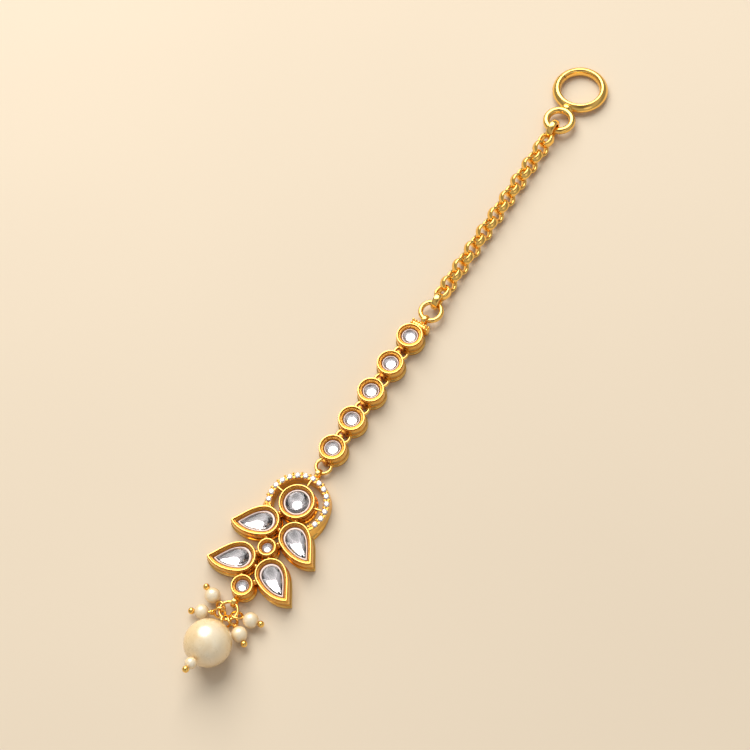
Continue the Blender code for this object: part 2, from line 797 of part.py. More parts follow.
def chain():
    """Round links, each turned about the chain's line across its neighbours."""
    route = [Vector((x * MM, CHAIN_START_Y + CHAIN_LENGTH * t, z * MM)) for t, x, z in CHAIN_ROUTE]
    length = sum((b - a).length for a, b in zip(route, route[1:]))
    longer = CHAIN_END_LINE - CHAIN_LINE
    last = CHAIN_LINKS - 1
    pitch = (length - longer) / last
    spots = [along_route(route, i * pitch / length) for i in range(last)] + [route[-1]]
    links = []
    for i, centre in enumerate(spots):
        tilt = -CHAIN_TILT if i % 2 == 0 else CHAIN_TILT
        if i in (1, last - 1):
            tilt = CHAIN_SECOND_TILT
        if i in (0, last):
            tilt = CHAIN_END_TILT
        way = (spots[min(i + 1, last)] - spots[max(i - 1, 0)]).normalized()
        side = way.cross(UP).normalized()
        turn = Matrix((side, way, side.cross(way))).transposed().to_4x4()
        matrix = Matrix.Translation(centre) @ turn @ Matrix.Rotation(-tilt, 4, "Y")
        matrix @= Matrix.Rotation(math.pi / CHAIN_STEPS, 4, "Z")
        line = CHAIN_END_LINE if i == last else CHAIN_LINE
        links.append(chain_link(line, matrix))
    finish("chain", fused("chain", links[0], links[1:]), GOLD)


def end_ring():
    """The split ring and the small ring that is soldered to it."""
    far, near = END_Y + END_LINE, SMALL_Y - SMALL_LINE
    slope = math.atan2(END_NEAR_HEIGHT - END_FAR_HEIGHT, far - near)
    large = torus("large", END_LINE, END_WIRE, END_RING_STEPS, END_WIRE_SIDES)
    across = Vector((SMALL_X - END_X, SMALL_Y - END_Y, 0))
    small = torus("small", SMALL_LINE, SMALL_WIRE, END_RING_STEPS - 10, END_WIRE_SIDES)
    small.transform(Matrix.Translation(across))
    way = across.normalized()
    meeting = way * (END_LINE + across.length - SMALL_LINE) / 2
    solder = ball("solder", END_SOLDER, meeting, 8, 6)
    gap = Matrix.Translation(polar(END_LINE, SPLIT_ANGLE))
    gap @= Matrix.Rotation(SPLIT_ANGLE + SPLIT_LEAN, 4, "Z")
    split = block("split", (3 * END_WIRE, SPLIT_WIDTH, 2 * END_WIRE), gap)
    body = fused("end_ring", large, [small, solder], [split])
    centre = Vector((END_X, END_Y, END_FAR_HEIGHT + END_LINE * math.sin(slope)))
    finish("end_ring", body, GOLD, Matrix.Translation(centre) @ Matrix.Rotation(-slope, 4, "X"))


def drop_ring():
    ring = torus("drop_ring", DROP_RING_LINE, DROP_RING_WIRE, RING_STEPS + 2, WIRE_SIDES)
    finish("drop_ring", ring, GOLD, Matrix.Translation(DROP_RING_CENTRE))


def drilled_pearl(name, radius, steps):
    """A round pearl with a hole along Z."""
    start = math.asin(BEAD_HOLE / radius)
    rows = steps // 2
    section = []
    for i in range(rows + 1):
        angle = start + (math.pi - 2 * start) * i / rows
        section.append((radius * math.sin(angle), radius * math.cos(angle)))
    return turned(name, section + [section[0]], steps)


def frame_along(way, tilt, origin):
    """A matrix whose X runs along a pin and whose XY plane leans from upright by a tilt."""
    side = way.cross(UP).normalized()
    upright = side.cross(way).normalized()
    second = upright * math.cos(tilt) + side * math.sin(tilt)
    return Matrix.Translation(origin) @ Matrix((way, second, way.cross(second))).transposed().to_4x4()


def head_pin(name, eye, way, eye_line, length, tilt):
    """An eye, a stem along the pin's line and a ball at its far end."""
    matrix = frame_along(way, tilt, eye)
    ring = torus("eye", eye_line, PIN_WIRE, EYE_STEPS, WIRE_SIDES, matrix)
    along_z = way.to_track_quat("Z", "Y").to_matrix().to_4x4()
    start = eye_line
    middle = eye + way * (start + length) / 2
    stem = cylinder("stem", PIN_WIRE / 2, length - start, Matrix.Translation(middle) @ along_z, WIRE_SIDES)
    tip = ball("ball", PIN_BALL, eye + way * length, 8, 5)
    finish(f"head_pin_{name}", fused(f"pin_{name}", ring, [stem, tip]), GOLD)


def small_drops():
    for name, radius, x, y, angle, hold in SMALL_DROPS:
        pearl = Vector((DROP_RING_CENTRE.x + x * MM, DROP_RING_CENTRE.y + y * MM, radius * MM))
        held = DROP_RING_CENTRE + polar(DROP_RING_LINE, math.radians(angle))
        way = (pearl - held).normalized()
        eye = held + way * hold * MM
        mesh = drilled_pearl(f"pearl_{name}", radius * MM, PEARL_STEPS)
        turn = way.to_track_quat("Z", "Y").to_matrix().to_4x4()
        finish(f"pearl_{name}", mesh, PEARL, Matrix.Translation(pearl) @ turn)
        length = (pearl - eye).length + radius * MM + PIN_BALL * 0.88
        head_pin(name, eye, way, PIN_EYE_LINE, length, PIN_EYE_TILT)


def large_drop():
    """The large pearl rests on the floor, and its pin rises away from the low drop ring."""
    flat = math.cos(LARGE_PIN_RISE)
    way = Vector(
        (
            flat * math.cos(LARGE_PIN_TURN),
            flat * math.sin(LARGE_PIN_TURN),
            math.sin(LARGE_PIN_RISE),
        )
    )
    turn = way.to_track_quat("Z", "Y").to_matrix().to_4x4()
    centre = Vector((LARGE_PEARL_SIDE, -LARGE_PEARL_HANG, LARGE_PEARL))
    centre += Vector((DROP_RING_CENTRE.x, DROP_RING_CENTRE.y, 0))
    pearl = drilled_pearl("pearl_large", LARGE_PEARL, LARGE_PEARL_STEPS)
    finish("pearl_large", pearl, PEARL, Matrix.Translation(centre) @ turn)
    below = centre + way * (LARGE_PEARL + BEAD_GAP + BELOW_PEARL)
    small = drilled_pearl("pearl_below", BELOW_PEARL, PEARL_STEPS)
    finish("pearl_below", small, PEARL, Matrix.Translation(below) @ turn)
    back = LARGE_PEARL + LARGE_STEM + LARGE_EYE_LINE + PIN_WIRE / 2
    eye = centre - way * back
    length = (below - eye).length + BELOW_PEARL + PIN_BALL * 0.88
    head_pin("large", eye, way, LARGE_EYE_LINE, length, PIN_EYE_TILT)


pendant_frame()
pendant_stones()
pave_stones()
stations()
pendant_ring()
jump_ring()
chain()
end_ring()
drop_ring()
small_drops()
large_drop()
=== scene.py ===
import bmesh
import bpy
import numpy as np
from mathutils import Matrix, Vector


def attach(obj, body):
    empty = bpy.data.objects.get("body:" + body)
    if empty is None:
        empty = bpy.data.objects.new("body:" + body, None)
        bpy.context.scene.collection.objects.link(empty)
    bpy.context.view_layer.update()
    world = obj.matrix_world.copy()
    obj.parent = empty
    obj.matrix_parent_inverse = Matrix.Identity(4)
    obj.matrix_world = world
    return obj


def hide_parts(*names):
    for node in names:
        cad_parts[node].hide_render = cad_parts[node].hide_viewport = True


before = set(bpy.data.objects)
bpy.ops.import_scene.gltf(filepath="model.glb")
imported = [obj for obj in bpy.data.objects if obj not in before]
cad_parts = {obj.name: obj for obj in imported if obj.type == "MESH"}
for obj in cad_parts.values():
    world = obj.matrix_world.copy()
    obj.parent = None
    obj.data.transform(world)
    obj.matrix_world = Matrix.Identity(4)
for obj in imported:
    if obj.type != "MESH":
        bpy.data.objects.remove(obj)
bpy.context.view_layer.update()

mm = 0.001
mergeWithin = 2e-7  # metres: points at poles and closed ends become one
leanReach = 1.2  # square millimetres: the spread of the bell curve at a ring's cut
hair = 1e-4  # millimetres: leans an upright rod off Z, so that its sides are defined
upward = np.array([0.0, 0.0, 1.0])


def gridFaces(rows, cols, closeRows=False, closeCols=True):
    # quads between neighbouring rows and columns, wrapping round where a direction is closed
    r = np.arange(rows if closeRows else rows - 1)[:, None]
    c = np.arange(cols if closeCols else cols - 1)[None, :]
    r2, c2 = (r + 1) % rows, (c + 1) % cols
    corners = [r * cols + c, r * cols + c2, r2 * cols + c2, r2 * cols + c]
    return np.stack([k + 0 * (r + c) for k in corners], -1).reshape(-1, 4)


def surface(points, closeRows=False, closeCols=True, grain=0.0):
    # one surface: its points by row and column, and how grained each point's finish is, which on the gold
    # also sets its painted shade
    rows, cols = points.shape[:2]
    grain = np.asarray(grain, float)
    if grain.ndim == 1:
        grain = grain[:, None]
    return {"points": points.reshape(-1, 3), "faces": gridFaces(rows, cols, closeRows, closeCols),
            "grain": np.broadcast_to(grain, (rows, cols)).reshape(-1)}


def turnedTo(part, matrix):
    # the same surface moved by a 4 x 4 matrix
    m = np.array(matrix)
    return {**part, "points": part["points"] @ m[:3, :3].T + m[:3, 3]}


def capped(grid):
    # one more row at each end, all at that end's middle, closes a run of rings
    first, last = (end * 0 + end.mean(1, keepdims=True) for end in (grid[:1], grid[-1:]))
    return np.concatenate([first, grid, last])


def smoothLine(points, perSpan):
    # Catmull-Rom curve through points, perSpan steps between two of them, ends kept
    p = np.asarray(points, float)
    q = np.vstack([2 * p[0] - p[1], p, 2 * p[-1] - p[-2]])
    t = np.linspace(0, 1, perSpan, endpoint=False)[None, :, None]
    a, b, c, d = (q[i:len(q) - 3 + i][:, None, :] for i in range(4))
    spans = 0.5 * (2 * b + (c - a) * t + (2 * a - 5 * b + 4 * c - d) * t**2 + (3 * b - a - 3 * c + d) * t**3)
    return np.vstack([spans.reshape(-1, p.shape[1]), p[-1:]])


def arc(steps, start=0.0, sweep=2 * np.pi):
    # angles at even steps, the far end left out
    return start + sweep * np.arange(steps) / steps


def polar(radius, angle, height):
    # points round Z: radius times cos and sin of the angle
    return np.stack([radius * np.cos(angle), radius * np.sin(angle), height + 0 * (radius + angle)], -1)


def revolved(profile, steps, grain=0.0):
    # a (radius, height) profile turned round Z
    return surface(polar(profile[:, :1], arc(steps), profile[:, 1:2]), grain=grain)


def ringOf(line, section, steps, gap=0.0, gapAt=0.0, lean=0.0):
    # a section (out, up) carried round a circle; a gap leaves two closed ends, and near them the section
    # leans off the radius by a bell curve of the way along the wire
    if gap:
        a = gapAt + gap / line / 2 + (2 * np.pi - gap / line) * np.linspace(0, 1, steps)
    else:
        a = arc(steps)
    out, up = section[:, 0][None, :], section[:, 1][None, :]
    near = np.exp(-((np.minimum(a - a[0], a[-1] - a) * line) ** 2) / leanReach) if gap else 0 * a
    angle = a[:, None] + near[:, None] * lean * out / line
    grid = polar(line + out, angle, up)
    return surface(capped(grid) if gap else grid, closeRows=not gap)


def roundSection(width, height=None, sides=16, square=1.0):
    # an ellipse, or a rounded box where square is under 1: cos and sin raised to that power
    ends = np.stack([np.cos(arc(sides)), np.sin(arc(sides))], -1)
    return np.array([width, height or width]) / 2 * (np.sign(ends) * np.abs(ends) ** square)


def globe(radius, centre, across=24, high=14, stretch=(1, 1, 1)):
    # a sphere by latitude and longitude, scaled along each axis
    lat = np.linspace(0, np.pi, high + 1)[:, None]
    grid = polar(np.sin(lat), arc(across), np.cos(lat))
    return surface(grid * radius * np.asarray(stretch) + np.asarray(centre, float))


def beadRow(spots, radius, across=7, high=5):
    # the same small globe at every spot, as one array
    one = globe(radius, (0, 0, 0), across, high)
    n = len(one["points"])
    return {"points": (spots[:, None, :] + one["points"][None]).reshape(-1, 3),
            "faces": (one["faces"][None] + n * np.arange(len(spots))[:, None, None]).reshape(-1, 4),
            "grain": np.zeros(n * len(spots))}


def rod(start, end, section, grain=0.0):
    # a section carried along a straight run, its ends rounded off over one third of its width
    start, end = np.asarray(start, float), np.asarray(end, float)
    way = (end - start) / np.linalg.norm(end - start)
    side = np.cross(way, upward)
    side /= np.linalg.norm(side)
    top = np.cross(side, way)
    run = np.linalg.norm(end - start)
    soft = np.abs(section).max() / 3  # how far the rounded ends reach in
    along = np.array([0, 0, soft * 0.3, soft, run - soft, run - soft * 0.3, run, run])
    share = np.array([0, 0.7, 0.9, 1, 1, 0.9, 0.7, 0])
    ring = section[:, :1] * side + section[:, 1:] * top
    return surface(start + along[:, None, None] * way + share[:, None, None] * ring[None], grain=grain)


def wayAlong(line):
    # how far along a line each of its points is
    return np.r_[0, np.cumsum(np.linalg.norm(np.diff(line, axis=0), axis=1))]


def pointsAt(at, way, line):
    # the points of a line at some ways along it
    return np.stack([np.interp(at, way, column) for column in line.T], -1)


def evenly(loop, spacing):
    # points of a closed loop, the same distance apart
    ring = np.vstack([loop, loop[:1]])
    way = wayAlong(ring)
    count = max(int(round(way[-1] / spacing)), 3)
    return pointsAt(way[-1] * np.arange(count) / count, way, ring)


def camelName(node):
    # some_piece becomes somePiece
    first, *others = node.split("_")
    return first + "".join(word.title() for word in others)


def placed(name, data):
    # a new object in the scene
    thing = bpy.data.objects.new(name, data)
    bpy.context.scene.collection.objects.link(thing)
    return thing


def makePiece(name, parts, material, replaced, sharp=50, flat=False):
    # joins surfaces into one closed mesh that points outwards, and lets it stand for CAD nodes
    start = np.cumsum([0] + [len(p["points"]) for p in parts])
    points = np.vstack([p["points"] for p in parts]) * mm
    faces = np.vstack([p["faces"] + k for p, k in zip(parts, start)])
    mesh = bpy.data.meshes.new(name)
    mesh.from_pydata(points, [], faces)
    layer = mesh.attributes.new("grain", "FLOAT", "POINT")
    layer.data.foreach_set("value", np.concatenate([p["grain"] for p in parts]).astype(np.float32))
    mesh.validate()
    bm = bmesh.new()
    bm.from_mesh(mesh)
    bmesh.ops.remove_doubles(bm, verts=bm.verts, dist=mergeWithin)
    bmesh.ops.recalc_face_normals(bm, faces=bm.faces)
    bm.to_mesh(mesh)
    bm.free()
    if flat:
        mesh.shade_flat()
    else:
        mesh.shade_smooth()
        mesh.set_sharp_from_angle(angle=np.radians(sharp))
    mesh.materials.append(material)
    piece = placed(name, mesh)
    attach(piece, "root")
    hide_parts(*replaced)
    return piece


def feed(tree, socket, value):
    # links another node's output to an input, or sets a number or a colour there
    if isinstance(value, bpy.types.NodeSocket):
        tree.links.new(value, socket)
    else:
        socket.default_value = (*value, 1) if socket.type == "RGBA" else value


def addNode(tree, kind, values=(), **settings):
    # a node with its settings and what its inputs get
    node = tree.nodes.new("ShaderNode" + kind)
    for key, value in settings.items():
        setattr(node, key, value)
    for key, value in dict(values).items():
        feed(tree, node.inputs[key], value)
    return node


def ramp(tree, stops, factor):
    # a colour ramp through (place, colour) stops
    node = addNode(tree, "ValToRGB", {"Fac": factor})
    band = node.color_ramp
    while len(band.elements) < len(stops):
        band.elements.new(0.5)
    for element, (place, colour) in zip(band.elements, stops):
        element.position = place
        element.color = (*colour, 1) if np.ndim(colour) else (colour, colour, colour, 1)
    return node.outputs["Color"]


def mixed(tree, factor, a, b):
    # mixes two colours or sockets by a factor
    return addNode(tree, "Mix", {0: factor, 6: a, 7: b}, data_type="RGBA").outputs[2]


def scaled(tree, a, b, c=0.0):
    # a times b plus c, on numbers or sockets
    return addNode(tree, "Math", {0: a, 1: b, 2: c}, operation="MULTIPLY_ADD").outputs[0]


def newMaterial(name, **plain):
    # a material, its tree and shader, and the place on the piece that its patterns read
    material = bpy.data.materials.new(name)
    material.use_nodes = True
    tree = material.node_tree
    shader = tree.nodes["Principled BSDF"]
    for key, value in plain.items():
        feed(tree, shader.inputs[key.replace("_", " ")], value)
    place = tree.nodes.new("ShaderNodeTexCoord").outputs["Object"]
    return material, tree, shader, place


def handlingMarks():
    # soft smudges and fine rubbed lines: two noises on object coordinates, as a mask and a height
    group = bpy.data.node_groups.new("handlingMarks", "ShaderNodeTree")
    for label, way, kind in (("Place", "INPUT", "Vector"), ("Size", "INPUT", "Float"),
                             ("Smudge", "OUTPUT", "Float"), ("Rub", "OUTPUT", "Float")):
        group.interface.new_socket(label, in_out=way, socket_type="NodeSocket" + kind)
    gin, gout = group.nodes.new("NodeGroupInput"), group.nodes.new("NodeGroupOutput")
    for label, grow, detail, rough in (("Smudge", 1.0, 3.0, 0.55), ("Rub", 7.0, 5.0, 0.65)):
        scale = scaled(group, gin.outputs["Size"], grow)
        noise = addNode(group, "TexNoise", {"Vector": gin.outputs["Place"], "Scale": scale, "Detail": detail,
                                            "Roughness": rough})
        group.links.new(noise.outputs["Fac"], gout.inputs[label])
    return group


marks = handlingMarks()


def marksOn(tree, place, size):
    # the handling marks in a material, at its own size
    used = addNode(tree, "Group", node_tree=marks)
    feed(tree, used.inputs["Size"], size)
    feed(tree, used.inputs["Place"], place)
    return used.outputs["Smudge"], used.outputs["Rub"]


def bumped(tree, shader, height, strength, depth):
    # a height that tilts the surface's light by strength, depth in metres
    bump = addNode(tree, "Bump", {"Strength": strength, "Distance": depth, "Height": height})
    tree.links.new(bump.outputs["Normal"], shader.inputs["Normal"])


# the plate's bright and deep are random tones; the two grain colours are painted shade for the grained
# recesses, the lighter on grain tops, the darker in the gaps between them
goldLook = {"bright": (1.0, 0.66, 0.19), "deep": (0.95, 0.50, 0.08), "deepShare": 0.55,
            "grainBright": (0.92, 0.46, 0.10), "shadedGrainGap": (0.50, 0.18, 0.02), "grainSize": 5200.0,
            "grainEven": 0.55, "dotStops": ((0.15, 1.0), (0.62, 0.0)), "polish": 0.08, "smudge": 0.12,
            "grainRough": 0.16, "wear": 0.06, "grainRelief": 0.55, "depth": 0.00003, "marks": 420.0}
pearlLook = {"body": (0.96, 0.84, 0.60), "blush": (0.97, 0.88, 0.75), "shade": (0.82, 0.52, 0.17),
             "cloudStops": (0.30, 0.5, 0.72), "cloudShare": 0.55, "bends": 1.65, "coatRough": 0.20,
             "coatBends": 1.7, "edge": 0.50, "satin": 0.24, "rub": 0.08, "wear": 0.015, "depth": 0.00003,
             "marks": 180.0}
foilLook = {"foil": (0.96, 0.925, 0.935), "border": (0.93, 0.76, 0.68), "polish": 0.13, "borderRough": 0.30,
            "borderMatt": 0.75, "wear": 0.04, "depth": 0.00002, "marks": 900.0}
glassLook = {"tint": (0.99, 0.985, 0.99), "bends": 1.46, "wear": 0.05, "depth": 0.00003, "marks": 300.0}
crystalLook = {"stops": ((0.35, (0.80, 0.80, 0.86)), (0.6, (1.0, 0.99, 0.98))), "patches": 1500.0,
               "metal": 0.72, "polish": 0.07, "coatRough": 0.02}


def goldMaterial():
    # polished plate with smudged gloss; where grain is 1 it has a pitted, dotted relief and a rougher
    # finish, and its colour is painted shade: a darker orange-brown for the recesses it marks, lighter on
    # the grains' tops and darkest in the gaps between them
    look = goldLook
    material, tree, shader, place = newMaterial("goldPlate", Metallic=1.0)
    smudge, rub = marksOn(tree, place, look["marks"])
    grain = addNode(tree, "Attribute", attribute_name="grain").outputs["Fac"]
    dots = addNode(tree, "TexVoronoi", {"Vector": place, "Scale": look["grainSize"],
                                        "Randomness": look["grainEven"]})
    dotShade = ramp(tree, look["dotStops"], dots.outputs["Distance"])
    plate = mixed(tree, smudge, look["bright"], look["deep"])
    plate = mixed(tree, look["deepShare"], look["bright"], plate)
    # painted shade in the grained recesses: lighter on the grains' tops, darkest in the gaps between them
    paintedGrainShade = mixed(tree, dotShade, look["shadedGrainGap"], look["grainBright"])
    tree.links.new(mixed(tree, grain, plate, paintedGrainShade), shader.inputs["Base Color"])
    gloss = scaled(tree, smudge, look["smudge"], look["polish"])
    rough = scaled(tree, grain, look["grainRough"], gloss)
    tree.links.new(rough, shader.inputs["Roughness"])
    strength = scaled(tree, grain, look["grainRelief"], look["wear"])
    bumped(tree, shader, mixed(tree, grain, rub, dotShade), strength, look["depth"])
    return material


def foilMaterial():
    # silver foil behind the glass; its raised border, where grain is 1, is a warm pink-white
    look = foilLook
    material, tree, shader, place = newMaterial("silverFoil", Metallic=1.0)
    smudge, _ = marksOn(tree, place, look["marks"])
    grain = addNode(tree, "Attribute", attribute_name="grain").outputs["Fac"]
    tree.links.new(mixed(tree, grain, look["foil"], look["border"]), shader.inputs["Base Color"])
    metal = scaled(tree, grain, -look["borderMatt"], 1.0)
    tree.links.new(metal, shader.inputs["Metallic"])
    rough = scaled(tree, grain, look["borderRough"], look["polish"])
    tree.links.new(rough, shader.inputs["Roughness"])
    bumped(tree, shader, smudge, look["wear"], look["depth"])
    return material


def glassMaterial():
    # clear, slightly cool glass with faint ripples in its polish
    look = glassLook
    material, tree, shader, place = newMaterial("clearGlass", Base_Color=look["tint"], Roughness=0.0,
                                                IOR=look["bends"], Transmission_Weight=1.0)
    smudge, _ = marksOn(tree, place, look["marks"])
    bumped(tree, shader, smudge, look["wear"], look["depth"])
    return material


def crystalMaterial():
    # small brilliants: bright mirror-like facets, cool in some patches and white in others
    look = crystalLook
    material, tree, shader, place = newMaterial("crystal", Metallic=look["metal"], Roughness=look["polish"],
                                                Coat_Weight=1.0, Coat_Roughness=look["coatRough"])
    noise = addNode(tree, "TexNoise", {"Vector": place, "Scale": look["patches"], "Detail": 1.0})
    tint = ramp(tree, look["stops"], noise.outputs["Fac"])
    tree.links.new(tint, shader.inputs["Base Color"])
    return material


def pearlMaterial():
    # cream nacre: random clouds of blush and deeper gold in the body colour, and a painted deeper golden
    # shade towards the edges as faces turn from the view, under a soft clear coat
    look = pearlLook
    material, tree, shader, place = newMaterial("pearl", IOR=look["bends"], Coat_Weight=1.0,
                                                Coat_Roughness=look["coatRough"], Coat_IOR=look["coatBends"])
    smudge, rub = marksOn(tree, place, look["marks"])
    stops = list(zip(look["cloudStops"], (look["shade"], look["body"], look["blush"])))
    clouds = ramp(tree, stops, smudge)
    cream = mixed(tree, look["cloudShare"], look["body"], clouds)
    # painted shade: the cream turns to the deeper golden shade colour as faces turn from the view
    edge = addNode(tree, "LayerWeight", {"Blend": look["edge"]})
    tree.links.new(mixed(tree, edge.outputs["Facing"], cream, look["shade"]), shader.inputs["Base Color"])
    tree.links.new(scaled(tree, rub, look["rub"], look["satin"]), shader.inputs["Roughness"])
    bumped(tree, shader, rub, look["wear"], look["depth"])
    return material


gold, foil, glass, crystal, pearl = (goldMaterial(), foilMaterial(), glassMaterial(), crystalMaterial(),
                                     pearlMaterial())
print("materials made")


# the turned or leaf-shaped cups that hold the kundan stones; bead rows: offset, bead radius, pitch, height
setting = {"rimTop": 3.10, "rimWidth": 0.19, "ledge": 2.66, "bulge": 0.27, "groove": 0.20, "flange": 0.45,
           "beadRows": ((0.13, 0.12, 0.33, 2.72), (-0.21, 0.09, 0.30, 2.79))}


def settingSection(stone, rim):
    # half a setting's section from the pocket's floor over ledge and rim down to the back: a smooth line
    # through offsets from the rim line, heights, and how grained the surface is there; the grained pocket,
    # ledge and groove under the rim are also painted in the grain's darker shade
    w, top, inner = setting["rimWidth"] / 2, setting["rimTop"], stone - rim
    ledge, bulge, groove, flange = (setting[key] for key in ("ledge", "bulge", "groove", "flange"))
    knots = np.array([
        (inner + 0.03, 1.52, 1), (inner + 0.03, 2.10, 1), (inner + 0.04, 2.36, 1), (inner + 0.12, ledge, 1),
        (inner * 0.55 - 0.05, ledge + 0.07, 1), (-w - 0.07, ledge + 0.14, 1), (-w - 0.01, top - 0.20, 0.7),
        (-w, top - 0.07, 0),
        (-w * 0.72, top - 0.01, 0), (0, top, 0), (w * 0.72, top - 0.01, 0), (w, top - 0.07, 0),
        (w - 0.01, top - 0.18, 0.7), (0.03, top - 0.28, 1), (0.05, top - 0.46, 1), (0.18, top - 0.62, 0.6),
        (bulge, 1.90, 0.06), (bulge - 0.03, 1.35, 0.06), (groove, 0.86, 0.3), (groove, 0.68, 0.5),
        (flange - 0.06, 0.56, 0.1), (flange, 0.46, 0), (flange, 0.08, 0), (flange - 0.05, 0.0, 0)])
    return smoothLine(knots, 3)


def settingBeads(loopAt):
    # a row of beads in the groove under the rim, and a finer one on the ledge inside it, evenly spaced
    parts = []
    for offset, radius, pitch, height in setting["beadRows"]:
        row = evenly(loopAt(offset), pitch)
        parts.append(beadRow(np.c_[row, np.full(len(row), height)], radius))
    return parts


def roundLoop(radius, steps):
    # points of a circle: radius times cos and sin
    return polar(radius, arc(steps), 0)[:, :2]


def turnedCup(line, rim, steps):
    # a section's line turned round Z, closed by a floor and a flat back
    profile = np.stack([np.r_[0, line[:, 0] + rim, 0], np.r_[line[0, 1], line[:, 1], 0]], -1)
    return revolved(profile, steps, np.r_[1, line[:, 2], 0])


def roundSetting(stone, rim, centre, steps):
    # a round cup with its rows of beads
    body = turnedCup(settingSection(stone, rim), rim, steps)
    place = Matrix.Translation(centre)
    return [turnedTo(p, place) for p in [body] + settingBeads(lambda d: roundLoop(rim + d, 180))]


# a leaf: a round end and two curved sides that meet at the tip; outer and lower give each side's heading
# at the tip and its pulls at tip and end, split the heading of the tip's middle line
leaf = {"end": 2.50, "centre": (3.05, -5.60), "tier": 7.38, "tip": (4.90, -2.58), "arc": (62, 238),
        "outer": (-57, 2.20, 2.05), "lower": (35, 1.90, 2.30), "split": 169, "ledge": 0.60, "flare": 0.12,
        "steps": 60, "crowd": 1.15, "softenings": 4, "softReach": 5.0, "overrun": 3.0}


def headed(degrees):
    # the unit vector at an angle from X
    return np.array([np.cos(np.radians(degrees)), np.sin(np.radians(degrees))])


def curved(a, b, c, d, steps):
    # a cubic Bezier curve from a to d, pulled by b and c
    t = np.linspace(0, 1, steps)[:, None]
    return a * (1 - t)**3 + 3 * b * (1 - t)**2 * t + 3 * c * (1 - t) * t**2 + d * t**3


def leafSides():
    # two runs from the tip: along the outer side and round to the end's middle, and along the lower side
    tip = np.array(leaf["tip"])
    first, last = leaf["arc"]
    arrive, tipPull, endPull = leaf["outer"]
    start = leaf["end"] * headed(first)
    steps = leaf["steps"]
    outer = curved(tip, tip - headed(arrive) * tipPull, start + headed(first - 90) * endPull, start, steps)
    arriveLow, tipPullLow, endPullLow = leaf["lower"]
    stop = leaf["end"] * headed(last)
    lower = curved(tip, tip - headed(arriveLow) * tipPullLow, stop + headed(last + 90) * endPullLow, stop,
                   steps)
    middle = (first + last) / 2
    end = leaf["end"] * headed(middle)
    arcs = [polar(leaf["end"], arc(steps, np.radians(a), np.radians(middle - a)), 0)[:, :2]
            for a in (first, last)]
    return np.vstack([outer[:-1], arcs[0], end]), np.vstack([lower[:-1], arcs[1], end])


leafRuns = leafSides()
leafSplit = headed(leaf["split"])


def leafLoop(distance, flare=0.0):
    # the rim line moved along its normals by distance, and by flare towards the tip; each side is cut or
    # lengthened to the tip's middle line and spaced by a power of its run; then the tip is softened
    tip = np.array(leaf["tip"])
    across = np.array([-leafSplit[1], leafSplit[0]])
    reach = np.linalg.norm(tip)
    runs = []
    for run, hand in zip(leafRuns, (1, -1)):
        along = np.gradient(run, axis=0)
        along /= np.linalg.norm(along, axis=1, keepdims=True)
        normal = np.stack([along[:, 1], -along[:, 0]], -1) * hand
        share = np.clip(run @ tip / reach**2, 0, None)[:, None] ** 2
        moved = run + normal * (distance + flare * share)
        moved = np.vstack([moved[0] - along[0] * leaf["overrun"], moved])
        side = (moved - tip) @ across * -hand
        k = np.where((side[:-1] < 0) & (side[1:] >= 0))[0]
        k = k[-1] if len(k) else 0
        t = side[k] / (side[k] - side[k + 1])
        cut = np.vstack([moved[k] + t * (moved[k + 1] - moved[k]), moved[k + 1:]])
        way = wayAlong(cut)
        runs.append(pointsAt(way[-1] * np.linspace(0, 1, leaf["steps"] + 1) ** leaf["crowd"], way, cut))
    loop = np.vstack([runs[0], runs[1][-2:0:-1]])
    place = np.arange(len(loop))
    near = np.exp(-np.minimum(place, len(loop) - place) ** 2 / leaf["softReach"])[:, None]
    for _ in range(leaf["softenings"]):
        loop = loop + near * 0.5 * ((np.roll(loop, 1, 0) + np.roll(loop, -1, 0)) / 2 - loop)
    return loop


def leafSetting():
    # every offset and height of the section as a ring round the leaf, closed by a floor and a flat back;
    # the outer wall flares towards the tip, most at half height
    line = settingSection(-leaf["ledge"], 0.0)
    flare = np.interp(-line[:, 1], [-2.9, -1.9, -0.66, 0], [0, 0.67, 0.8, 0.67]) * leaf["flare"]
    flare = np.where(line[:, 0] > 0.02, flare, 0)
    rings = [np.c_[leafLoop(d, f), np.full(2 * leaf["steps"], h)] for (d, h, _), f in zip(line, flare)]
    return [surface(capped(np.stack(rings)), grain=np.r_[1, line[:, 2], 0])] + settingBeads(leafLoop)


def leafPlaces():
    # name, matrix to its place: the left ones are mirror images
    for tier, row in enumerate(("upper", "lower")):
        x, y = leaf["centre"]
        right = Matrix.Translation((x, y - tier * leaf["tier"], 0))
        yield row + "_right", right
        yield row + "_left", Matrix.Scale(-1, 4, (1, 0, 0)) @ right


# the pendant's metal: round cups (y, rim, stone, steps of cup and stone), the arch with its bead rows (at
# the gaps or at the stones: spread off the line, radius, height), its loops, bars and solder
cups = {"round": (0, 2.95, 2.35, 150, 96), "mid": (-9.38, 1.43, 0.88, 90, 64),
        "low": (-17.05, 1.72, 1.08, 100, 64)}
arch = {"line": 5.05, "ends": (-36, 216), "foot": 0.66, "top": 0.56, "height": 2.16, "swell": 0.055,
        "spread": 1.0, "spreadFrom": 80, "steps": 260, "stones": 15, "firstStone": -21, "stoneRadius": 0.54,
        "girdle": 2.26, "prongs": (0.48, 0.18, 2.20), "edgeGrains": (0.60, 0.07, 2.06)}
loops = {"hole": 0.68, "wall": 0.32, "width": 0.72, "sink": 0.26, "lift": 0.02, "archEdge": 0.68,
         "square": 0.62}
bars = {"angles": (9, 90, 171), "width": 0.34, "depth": 0.48, "height": 2.36, "start": 3.00, "end": 4.64,
        "square": 0.7}
solder = {"radius": 0.46, "height": 1.90, "sink": 0.30, "tall": 1.5}


def stoneAngles():
    # the arch's stones, at even angles from the first to its mirror image
    first = arch["firstStone"]
    return np.radians(np.linspace(first, 180 - first, arch["stones"]))


